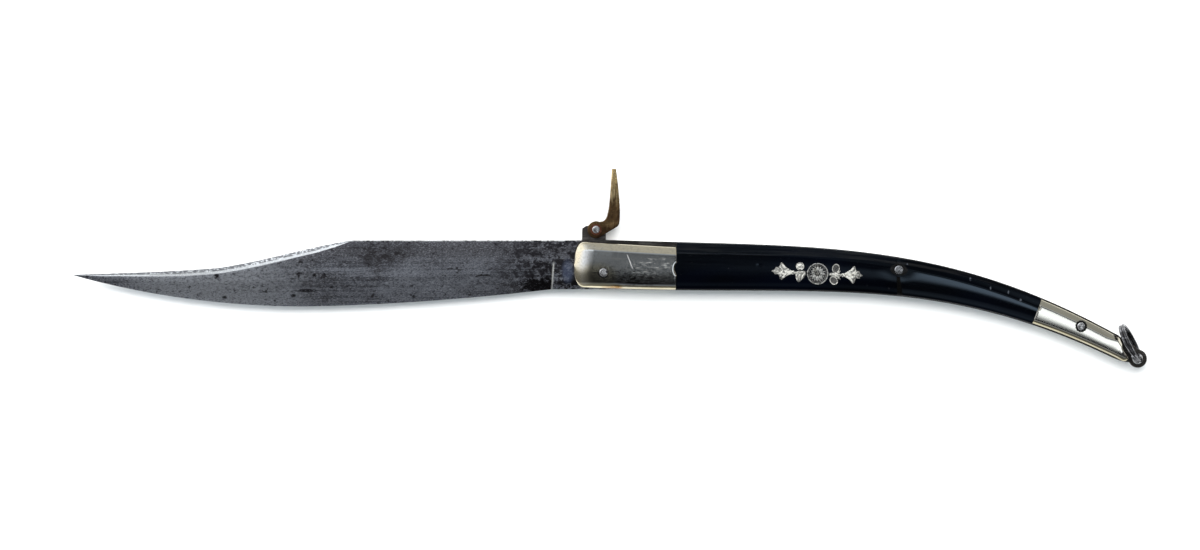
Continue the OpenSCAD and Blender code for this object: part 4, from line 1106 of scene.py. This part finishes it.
def bright(name, color=(0.86, 0.86, 0.88), rough=0.22):
    g = Graph(name, color, 1.0, rough)
    hammer = g.noise((1000, 1000, 1000), 3, 0.5, 0.6)
    fine = g.noise((3000, 3000, 3000), 3, 0.6)
    g.tint(g.range(hammer, 0.58, 0.66), (0.1, 0.1, 0.12))
    g.tint(g.range(fine, 0.55, 0.7), (0.35, 0.35, 0.38), 0.4)
    g.feed(Roughness=g.range(hammer, 0.35, 0.65, rough - 0.08, rough + 0.15))
    g.bump(hammer, 0.12, 0.8)
    return g.mat


POLE_DIST, SEAM_DIST = 0.0008, 0.0025


def lathe(bm, profile, steps, center):
    """Spins a profile of (radius, height) points round the Z axis."""
    old = set(bm.verts)
    verts = [bm.verts.new((r, 0, z)) for r, z in profile]
    edges = [bm.edges.new(pair) for pair in zip(verts, verts[1:])]
    bmesh.ops.spin(bm, geom=verts + edges, axis=(0, 0, 1), cent=(0, 0, 0), steps=steps, angle=2 * math.pi,
                   use_merge=True)
    bmesh.ops.remove_doubles(bm, verts=[v for v in bm.verts if v not in old], dist=POLE_DIST)
    new = [v for v in bm.verts if v not in old]
    bmesh.ops.translate(bm, verts=new, vec=(*center, 0))
    return new


def hammered(verts, center, r, deep):
    """Presses random dimples into the face of a head."""
    marks = [(center[0] + random.uniform(-1, 1) * r, center[1] + random.uniform(-1, 1) * r) for _ in range(7)]
    for vert in verts:
        x, y, z = vert.co
        side = 1 if z > MID else -1
        near = sum(math.exp(-((x - a) ** 2 + (y - b) ** 2) / (0.35 * r) ** 2) for a, b in marks)
        vert.co.z -= side * deep * min(near, 1)


FACE_STEPS = [(0.3, 0), (0.55, 0.01), (0.78, 0.04), (0.92, 0.12), (1, 0.26)]


def rivet(name, node, center, shank, reach, body, head=0.0, head_r=0.0, material=None):
    """A rivet whose ends stand at reach from the middle, with a head on each where head_r is given."""
    bm = bmesh.new()
    r = head_r or shank
    for side, _ in SIDES:
        top = MID + side * (reach + head)
        profile = [(0.001, top)] + [(r * share, top - side * down) for share, down in FACE_STEPS]
        if head_r:
            profile += [(r, MID + side * reach), (shank, MID + side * reach)]
        made = lathe(bm, profile + [(shank, MID)], 36, center)
        hammered([v for v in made if abs(v.co.z - top) < 0.1], center, r, 0.05)
    bmesh.ops.remove_doubles(bm, verts=bm.verts, dist=SEAM_DIST)
    finish(bm, name, [material or rivet_mat], body, node, 45)


def height_of(line, n):
    """A covering's height at height n across the handle, from its rounded section."""
    line = line[::-1]
    return SKIN + float(np.interp(n, [p[0] for p in line], [p[1] for p in line]))


rivet_mat = bright("rivet_steel")
middle_mat = bright("middle_rivet_steel", (0.6, 0.61, 0.64))
middle_face = height_of(soft(horn_section(MIDDLE_S)), MIDDLE_N)
tail_face = SKIN + look(TAIL_PIN_S, [(CAP_FRONT, CAP), (CAP_END, TAIL)])
print("rivet faces over the middle plane: %.2f and %.2f mm" % (middle_face, tail_face))

# %% [markdown]
# ## Washers
# A thin dark ring lies round each end of the pivot, notched washers lie under the tail rivet's heads,
# pointed ovals round the middle rivet, and reddish ones under the heads of the lever's pin. They could be
# turned as profiles, but plates with a hole also give the notched and the oval outlines.

# %% Washers


def washer_pair(name, node, center, inner, outlines, body, material):
    """Plates with a hole, one for each (outline, low, high) in outlines."""
    bm = bmesh.new()
    for outline, low, high in outlines:
        plate(bm, outline, *sorted((low, high)), [circle(center, inner, 32)], rim=0.08)
    finish(bm, name, [material], body, node)


def notched(center, outer, notches=12, count=72):
    turns = [2 * math.pi * i / count for i in range(count)]
    rims = [outer * (1 - 0.09 * max(0, math.cos(notches * a)) ** 3) for a in turns]
    return [(center[0] + r * math.cos(a), center[1] + r * math.sin(a)) for r, a in zip(rims, turns)]


def pointed_oval(center, long, tall, lean, count=48):
    points = []
    for a in [2 * math.pi * i / count for i in range(count)]:
        x = long * math.copysign(abs(math.cos(a)) ** 1.25, math.cos(a))
        y = tall * math.copysign(abs(math.sin(a)) ** 1.1, math.sin(a))
        points.append((center[0] + x * math.cos(lean) - y * math.sin(lean),
                       center[1] + x * math.sin(lean) + y * math.cos(lean)))
    return points


def both(outline, near, far):
    return [(outline, MID + side * near, MID + side * far) for side, _ in SIDES]


# %% [markdown]
# ## Riveting
# Each rivet holds its own washers, so they are made in turn: the pivot, the middle rivet, the tail rivet
# and the lever's pin. The middle washers lean with the handle, and the rings round the pivot lie in the
# pockets of the bolsters.

# %% Riveting
RING_LOW = (0.05, 12.15)
RING_TALL = 0.4
LEVER_PIN_R, WASHER_THICK = 0.8, 0.3
lean = math.atan2(*slope(share_at(MIDDLE_S))[::-1])
pivot_ring = circle(PIVOT, PIVOT_RING_R, 72)
oval = pointed_oval(MIDDLE, 3.3, 2.45, lean)

rivet("pivot_rivet_peened", "pivot_rivet", PIVOT, PIVOT_R, MID - 0.05, "handle")
washer_pair("pivot_rings_turned", "pivot_rings", PIVOT, PIVOT_R + 0.05,
            [(pivot_ring, z, z + RING_TALL) for z in RING_LOW], "handle", washer_mat)
rivet("middle_rivet_peened", "middle_rivet", MIDDLE, MIDDLE_R, middle_face, "handle", material=middle_mat)
washer_pair("middle_washers_oval", "middle_washers", MIDDLE, MIDDLE_R + 0.02,
            both(oval, middle_face - 0.45, middle_face - 0.08), "handle", washer_mat)
rivet("tail_rivet_peened", "tail_rivet", TAIL_PIN, TAIL_PIN_R, tail_face + 0.05, "handle",
      head=0.28, head_r=1.45)
washer_pair("tail_washers_notched", "tail_washers", TAIL_PIN, TAIL_PIN_R + 0.05,
            both(notched(TAIL_PIN, 2.25), tail_face - 0.35, tail_face + 0.04),
            "handle", washer_mat)
rivet("lever_pin_peened", "lever_pin", LEVER_PIN, LEVER_PIN_R, LEVER_HALF + WASHER_THICK, "lever",
      head=0.48, head_r=1.4)
washer_pair("lever_washers_turned", "lever_washers", LEVER_PIN, LEVER_PIN_R + 0.05,
            both(circle(LEVER_PIN, 2.15, 72), LEVER_HALF, LEVER_HALF + WASHER_THICK),
            "lever", red_mat)

# %% [markdown]
# ## Engraved silver
# The inlay is cut from thin silver and engraved, so it is bright on its relief and dark in what is cut
# below. The height in the piece tells the two apart, and a twisting noise stands for the fine engraving.

# %% Engraved silver
INLAY_TOP = 12.29


def silver(name, color, metal):
    g = Graph(name, color, metal, 0.36)
    cut_below = g.range(g.axes(g.space())["Z"], (INLAY_TOP - 0.1) * MM, (INLAY_TOP - 0.045) * MM, 1, 0)
    engraved = g.noise((820, 980, 700), 3, 0.6, 1.6)
    fine = g.noise((700, 700, 700), 5, 0.6)
    g.tint(g.range(engraved, 0.5, 0.57), (0.09, 0.09, 0.085), 0.85)
    g.tint(g.range(fine, 0.5, 0.7), (0.5, 0.47, 0.38), 0.35)
    g.tint(cut_below, (0.04, 0.04, 0.042), 0.9)
    g.feed(Roughness=g.range(fine, 0.3, 0.7, 0.32, 0.5))
    g.bump(engraved, 0.06, 0.9)
    return g.mat


silver_mat = silver("inlay_silver", (0.95, 0.94, 0.88), 0.75)
roundel_mat = silver("roundel_silver", (0.82, 0.82, 0.79), 0.95)
print("silver: %s, %s" % (silver_mat.name, roundel_mat.name))

# %% [markdown]
# ## Roundel
# A round plate with a raised rim and a rosette stands in the middle of the inlay. Each leaf is filled,
# extruded, inset and pushed up, so that it has a flat rim and a swelling middle. The pattern is a plain
# one of leaves and rings.

# %% Roundel
ROUNDEL_S, ROUNDEL_N, ROUNDEL_R = 80.1, -1.6, 4.0
ROUNDEL = at(ROUNDEL_S, ROUNDEL_N)
INLAY_TURN = math.atan2(*slope(share_at(ROUNDEL_S))[::-1])


def in_inlay(points, at_x=0.0, at_y=0.0, turn=0.0):
    """Turns and moves points from an ornament's own frame to the handle."""
    for x0, y0, a in ((at_x, at_y, turn), (ROUNDEL[0], ROUNDEL[1], INLAY_TURN)):
        c, s = math.cos(a), math.sin(a)
        points = [(x0 + x * c - y * s, y0 + x * s + y * c) for x, y in points]
    return points


def leaf(l, w, tip=1.0, count=12):
    half_widths = [w / 2 * math.sin(math.pi * (i / count) ** tip) for i in range(count + 1)]
    upper = [(l * i / count, y) for i, y in enumerate(half_widths)]
    return upper + [(x, -y) for x, y in upper[-2:0:-1]]


def relief(bm, outline, top, rim=0.16, swell=0.08, deep=0.5):
    """Extrudes an outline, insets its top and moves the middle: up where swell is positive, or down."""
    face = bmesh.ops.contextual_create(bm, geom=outline_edges(bm, outline, top - deep))["faces"]
    made = bmesh.ops.extrude_face_region(bm, geom=face, use_keep_orig=True)["geom"]
    up = next(f for f in made if isinstance(f, bmesh.types.BMFace))
    bmesh.ops.translate(bm, verts=up.verts[:], vec=(0, 0, deep - max(swell, 0)))
    bmesh.ops.inset_region(bm, faces=[up], thickness=rim, use_even_offset=True)
    bmesh.ops.translate(bm, verts=up.verts[:], vec=(0, 0, swell))


def disc(bm, x, y, r, count, top, rim, swell, deep=0.5):
    relief(bm, in_inlay(circle((x, y), r, count)), top, rim, swell, deep)


def ring_of(r):
    return in_inlay(circle((0, 0), r, 64))


bm = bmesh.new()
plate(bm, ring_of(ROUNDEL_R), INLAY_TOP - 0.6, INLAY_TOP - 0.14)
plate(bm, ring_of(ROUNDEL_R), INLAY_TOP - 0.3, INLAY_TOP - 0.02, [ring_of(3.55)], rim=0.06)
plate(bm, ring_of(3.25), INLAY_TOP - 0.3, INLAY_TOP - 0.07, [ring_of(3.05)], rim=0.03, segments=1)
for turn in [i * math.pi / 4 for i in range(8)]:
    petal = in_inlay(leaf(2.15, 1.25, 0.8), 0.75 * math.cos(turn), 0.75 * math.sin(turn), turn)
    relief(bm, petal, INLAY_TOP, 0.14, 0.07, 0.3)
    turn += math.pi / 8
    sliver = in_inlay(leaf(1.0, 0.5), 1.95 * math.cos(turn), 1.95 * math.sin(turn), turn)
    relief(bm, sliver, INLAY_TOP - 0.02, 0.08, 0.04, 0.25)
disc(bm, 0, 0, 0.62, 20, INLAY_TOP, 0.2, 0.1, 0.3)
finish(bm, "roundel_engraved", [roundel_mat], "handle", "inlay_roundel", 30)

# %% [markdown]
# ## Ornaments
# Chased silver shows as swelling ridges over a darker ground. So an ornament is a low plate with ridges
# on it, each swept along a bent line and widest in its middle. A bump map would stay flat at the rims.

# %% Ornaments


def ridge(points, wide, count=14):
    """A swelling ridge along a bent line from its root to its tip."""
    line = soft(points)
    upper, lower = [], []
    for k in np.linspace(0, 1, count + 1):
        x, y = along_line(line, k)
        a, b = along_line(line, max(0, k - 0.03)), along_line(line, min(1, k + 0.03))
        turn = math.atan2(b[1] - a[1], b[0] - a[0])
        w = wide / 2 * (0.12 + 0.88 * math.sin(math.pi * (0.12 + 0.88 * k)) ** 0.8)
        upper.append((x - w * math.sin(turn), y + w * math.cos(turn)))
        lower.append((x + w * math.sin(turn), y - w * math.cos(turn)))
    return upper + lower[::-1]


def smooth(points):
    """Cuts a closed outline's corners a little."""
    out = []
    for a, b, c in zip(points[-1:] + points[:-1], points, points[1:] + points[:1]):
        out += [(0.2 * a[0] + 0.8 * b[0], 0.2 * a[1] + 0.8 * b[1]),
                (0.8 * b[0] + 0.2 * c[0], 0.8 * b[1] + 0.2 * c[1])]
    return out


def motif(bm, outline, ridges, x0=0.0, stretch=1.0):
    """An ornament: its ground stands a little below its ridges, so it shows darker between them."""
    def moved(points):
        return in_inlay([(x0 + stretch * x, y) for x, y in points])
    relief(bm, moved(smooth(outline)), INLAY_TOP - 0.08, 0.08, 0.03)
    for points, wide in ridges:
        relief(bm, moved(ridge(points, wide)), INLAY_TOP, 0.13, 0.06, 0.3)


def loop(x, y, a, b, lean):
    """A closed loop of leaf, sunk in its middle."""
    turns = np.linspace(0, 2 * math.pi, 33)[:-1]
    return [(x + a * math.cos(k) + lean * math.sin(k), y + b * math.sin(k)) for k in turns]


# %% [markdown]
# ## Sprays
# On each side of the roundel stands a spray: a fan of leaves at the far end, and leaves and loops next to
# the roundel. The two fans are one outline, mirrored, and the rest is drawn piece by piece.

# %% Sprays
FAN = [(-0.2, 0.5), (1.0, 0.85), (1.9, 1.45), (2.8, 2.45), (3.4, 3.2), (4.1, 3.7), (4.45, 3.05), (4.6, 2.15),
       (5.1, 1.75), (5.9, 1.9), (6.1, 1.05), (7.5, 0.2), (6.4, -0.4), (6.1, -1.1), (5.0, -0.9), (4.6, -1.4),
       (4.4, -2.3), (3.85, -3.1), (3.2, -2.7), (2.6, -1.9), (1.7, -1.0), (0.6, -0.6), (-0.2, -0.5)]
FAN_RIDGES = [
    ([(0.2, 0.25), (1.8, 0.9), (3.3, 2.2), (4.0, 3.45)], 0.95),
    ([(0.2, -0.2), (1.8, -0.6), (3.2, -1.8), (3.8, -2.85)], 0.9),
    ([(0.3, 0.05), (3, 0.1), (7.1, 0.2)], 0.8), ([(2.2, 0.6), (3.8, 1.0), (4.5, 1.7), (4.3, 2.5)], 0.5),
    ([(2.0, 0.4), (4.2, 0.7), (5.7, 1.65)], 0.6), ([(2.2, -0.3), (4.4, -0.4), (5.9, -0.95)], 0.55),
    ([(2.2, -0.6), (3.8, -0.8), (4.3, -1.8)], 0.45),
]
LEFT_LEAF = [(-9.0, 0.5), (-6.4, 0.75), (-4.35, 0.9), (-4.35, -0.3), (-4.7, -1.2), (-5.4, -2.1), (-6.3, -3.1),
             (-7.0, -3.6), (-7.7, -2.9), (-8.1, -1.6), (-8.5, -0.5), (-9.0, -0.45)]
LEFT_LEAF_RIDGES = [
    ([(-8.9, 0), (-6.6, 0.15), (-4.5, 0.45)], 0.75), ([(-7.9, -0.4), (-7.9, -1.8), (-7.1, -3.3)], 0.6),
    ([(-6.6, -0.3), (-6.9, -1.6), (-6.7, -2.8)], 0.55), ([(-4.9, -0.1), (-5.6, -1.3), (-6.1, -2.6)], 0.6),
]
RIGHT_STEM = [(4.3, 0.6), (6.2, 0.75), (7.6, 0.5), (9.4, 0.5), (9.4, -0.4), (8.1, -0.7), (8.8, -1.9),
              (7.6, -1.5), (6.2, -0.8), (4.3, -0.5)]
RIGHT_STEM_RIDGES = [
    ([(4.4, 0), (6.2, 0.1), (9.3, 0.05)], 0.75), ([(6.8, -0.2), (7.8, -0.9), (8.6, -1.75)], 0.6),
    ([(7.0, 0.3), (7.9, 0.9), (8.4, 1.5)], 0.5),
]

bm = bmesh.new()
for flip, stretch, x in ((1, 1.0, 9.6), (-1, 1.1, -9.3)):
    motif(bm, FAN, FAN_RIDGES, x, flip * stretch)
    disc(bm, x - flip * 0.1, 0, 0.7, 18, INLAY_TOP + 0.02, 0.18, 0.08)
disc(bm, -6.7, 2.45, 1.55, 28, INLAY_TOP, 0.3, 0.08)
disc(bm, -6.7, 2.45, 0.7, 18, INLAY_TOP + 0.02, 0.15, 0.04, 0.2)
motif(bm, LEFT_LEAF, LEFT_LEAF_RIDGES)
for spot in ((6.7, 2.3, 1.4, 1.75, 0.1), (6.1, -2.2, 1.5, 1.55, -0.3)):
    relief(bm, in_inlay(loop(*spot)), INLAY_TOP, 0.42, -0.12)
motif(bm, RIGHT_STEM, RIGHT_STEM_RIDGES)
disc(bm, 6.9, 0.1, 0.8, 20, INLAY_TOP + 0.02, 0.2, 0.06)
finish(bm, "sprays_engraved", [silver_mat], "handle", "inlay_sprays", 30)

# %% [markdown]
# ## Ring
# The ring is one wire wound in two turns, like a key ring, and it leans in the eye. A torus would be one
# closed turn, so the wire's round section is swept along a flat helix by bending a grid, and its two ends
# taper.

# %% Ring
WIRE_R, RING_R, TURNS, START = 0.6, 7.35, 2, 2.2
RING_LIFT, RING_LEAN, RING_YAW = 1.64, math.radians(12), math.radians(116.5)
STEP, STEP_FROM, STEP_LONG = 1.176, 0.44, 0.12
TAPER, TAPER_LONG = 0.35, 0.02
INTO_EYE = 0.85


def belt_ring():
    reach = math.sqrt(RING_R ** 2 - RING_LIFT ** 2) - INTO_EYE
    move = (Matrix.Translation((*EYE, MID + RING_LIFT)) @ Matrix.Rotation(RING_YAW, 4, "Z")
            @ Matrix.Translation((reach, 0, 0)) @ Matrix.Rotation(math.pi / 2 - RING_LEAN, 4, "X"))

    def place(u, v):
        a, b = 2 * math.pi * TURNS * v + START, 2 * math.pi * u
        rise = STEP * (min(1, max(0, (v - STEP_FROM) / STEP_LONG)) - 0.5)
        thin = 1 - TAPER * (max(0, 1 - v / TAPER_LONG) + max(0, 1 - (1 - v) / TAPER_LONG))
        r = RING_R + WIRE_R * thin * math.cos(b)
        p = move @ Vector((r * math.cos(a), r * math.sin(a), rise + WIRE_R * thin * math.sin(b)))
        return (*p, a * RING_R, b)

    bm = bmesh.new()
    sheet(bm, 20, 220, place)
    finish(bm, "ring_of_wire", [ring_mat], "ring", "belt_ring", 50)


belt_ring()

# %% [markdown]
# ## Floor
# The knife was photographed on plain, nearly white paper. One big square stands for it, dull enough to
# keep the shadow, and it belongs to the stage, not to the part.

# %% Floor
bm = bmesh.new()
bmesh.ops.create_grid(bm, x_segments=1, y_segments=1, size=3)
mesh = bpy.data.meshes.new("floor")
bm.to_mesh(mesh)
bm.free()
floor = bpy.data.objects.new("floor", mesh)
bpy.context.scene.collection.objects.link(floor)
g = Graph("floor_paper", (0.93, 0.935, 0.94), 0.0, 0.9)
g.tint(g.noise((40, 40, 40), 4, 0.6), (0.88, 0.89, 0.9), 0.06)
mesh.materials.append(g.mat)
print("floor: %.0f m wide" % floor.dimensions.x)

# %% [markdown]
# ## Surroundings
# Flat metal mirrors what stands above it, so the surroundings shape its look as much as its own colour
# does. They are dark straight overhead, where the camera is, brighter towards the back and the blade's
# side, and brightest over the tail. Each table gives a brightness for one direction, and products of two
# tables make soft boxes.

# %% Surroundings
COOL = (0.94, 0.98, 1.0)
world = bpy.data.worlds.new("studio")
bpy.context.scene.world = world
world.use_nodes = True
tree = world.node_tree
coords = tree.nodes.new("ShaderNodeTexCoord")
direction = tree.nodes.new("ShaderNodeSeparateXYZ")
tree.links.new(coords.outputs["Generated"], direction.inputs["Vector"])


def brightness(axis, stops, color=(1, 1, 1)):
    """A ramp over one direction, from -1 to 1."""
    shift = tree.nodes.new("ShaderNodeMath")
    shift.operation = "MULTIPLY_ADD"
    shift.inputs[1].default_value = shift.inputs[2].default_value = 0.5
    ramp = tree.nodes.new("ShaderNodeValToRGB")
    tree.links.new(direction.outputs[axis], shift.inputs[0])
    tree.links.new(shift.outputs["Value"], ramp.inputs["Fac"])
    spots = ramp.color_ramp.elements
    for place, _ in stops[1:-1]:
        spots.new(place / 2 + 0.5)
    spots[0].position, spots[len(stops) - 1].position = 0, 1
    for spot, (_, value) in zip(spots, stops):
        spot.color = (*(value * c for c in color), 1)
    return ramp.outputs["Color"]


def mix(kind, a, b):
    node = tree.nodes.new("ShaderNodeMix")
    node.data_type, node.blend_type, node.clamp_result = "RGBA", kind, False
    node.inputs["Factor"].default_value = 1
    tree.links.new(a, node.inputs["A"])
    tree.links.new(b, node.inputs["B"])
    return node.outputs["Result"]


def stronger(color, k):
    node = tree.nodes.new("ShaderNodeVectorMath")
    node.operation = "SCALE"
    node.inputs["Scale"].default_value = k
    tree.links.new(color, node.inputs["Vector"])
    return node.outputs["Vector"]


walls = brightness("Y", [(-1, 0.2), (-0.6, 0.19), (-0.42, 0.1), (-0.3, 0.015), (0.24, 0.01), (0.36, 0.1),
                         (0.6, 0.3), (0.75, 0.52), (1, 0.6)], COOL)
peak = mix("MULTIPLY",
           brightness("Y", [(-1, 0), (0.24, 0), (0.36, 0.9), (0.55, 0.9), (0.75, 0), (1, 0)], COOL),
           brightness("X", [(-1, 1), (-0.05, 1), (-0.025, 0.1), (1, 0.1)]))
above = mix("MULTIPLY",
            brightness("Y", [(-1, 0), (-0.3, 0), (-0.04, 0), (0, 0.02), (0.05, 0.07), (0.12, 0.2),
                             (0.24, 0.23), (0.32, 0), (1, 0)], COOL),
            brightness("X", [(-1, 1), (0.01, 1), (0.018, 0.12), (1, 0.12)]))
sides = mix("MULTIPLY",
            brightness("X", [(-1, 0.8), (-0.7, 0.8), (-0.5, 0.45), (-0.25, 0.12), (-0.08, 0.06),
                             (-0.03, 0.025), (0, 0), (0.25, 0), (0.4, 0.1), (1, 0.15)]),
            brightness("Y", [(-1, 0.2), (-0.4, 0.24), (-0.25, 0.1), (-0.08, 0.15), (0.02, 1), (0.25, 1),
                             (0.45, 0.3), (1, 0.3)]))
softbox = mix("MULTIPLY",
              brightness("X", [(-1, 0), (0.04, 0), (0.047, 0.5), (0.066, 0.6), (0.078, 1), (0.3, 1),
                               (0.36, 0), (1, 0)], (0.93, 0.98, 1.0)),
              brightness("Y", [(-1, 0), (-0.085, 0), (-0.03, 1), (0.05, 1), (0.11, 0), (1, 0)]))
high = mix("ADD", walls, mix("ADD", above, peak))
low = mix("ADD", stronger(sides, 1.5), stronger(softbox, 1.5))
backdrop = tree.nodes["Background"]
tree.links.new(mix("ADD", high, low), backdrop.inputs["Color"])
backdrop.inputs["Strength"].default_value = 1.0
print("surroundings: %d nodes" % len(tree.nodes))

# %% [markdown]
# ## Lamps
# A broad soft lamp stands towards the back, so the shadow falls below the knife, and a weak cool one
# fills it in. The metal doesn't mirror them, because the surroundings already hold everything that it
# should show.

# %% Lamps


def area(name, place, size, power, color):
    light = bpy.data.lights.new(name, "AREA")
    light.shape = "RECTANGLE"
    light.size, light.size_y = size
    light.energy, light.color = power, color
    obj = bpy.data.objects.new(name, light)
    obj.location = place
    obj.rotation_euler = (Vector((0, -0.01, 0)) - Vector(place)).to_track_quat("-Z", "Y").to_euler()
    obj.visible_glossy = False
    bpy.context.scene.collection.objects.link(obj)
    print("%s lamp: %.1f W" % (name, power))


area("key", (0.0, 0.5, 1.0), (1.4, 0.8), 25.5, (1.0, 0.99, 0.97))
area("fill", (0.0, -0.4, 1.1), (1.8, 1.2), 6.5, (0.86, 0.96, 1.0))

# %% [markdown]
# ## Camera
# The photograph was taken from straight above with a long lens, so the camera stands high. Its height is
# worked out from the lens and from what one pixel of the photograph is on the knife, in the plane that
# should be true to scale.

# %% Camera
PHOTO_W, PHOTO_H = 1200, 550
PIVOT_PIXEL = (603.5, 272.4)
PIXEL = 0.374 * MM
TRUE_PLANE = 8.8
camera_data = bpy.data.cameras.new("camera")
camera = bpy.data.objects.new("camera", camera_data)
bpy.context.scene.collection.objects.link(camera)
camera_data.sensor_width, camera_data.lens, camera_data.clip_end = 36, 200, 10
height = PHOTO_W * PIXEL * camera_data.lens / camera_data.sensor_width
camera.location = ((PHOTO_W / 2 - PIVOT_PIXEL[0]) * PIXEL, (PIVOT_PIXEL[1] - PHOTO_H / 2) * PIXEL,
                   height + TRUE_PLANE * MM)
camera.rotation_euler = (0, 0, 0)
bpy.context.scene.camera = camera
bpy.context.scene.view_settings.view_transform = "Standard"
bpy.context.scene.view_settings.look = "None"
print("camera: %.2f m above the knife" % height)
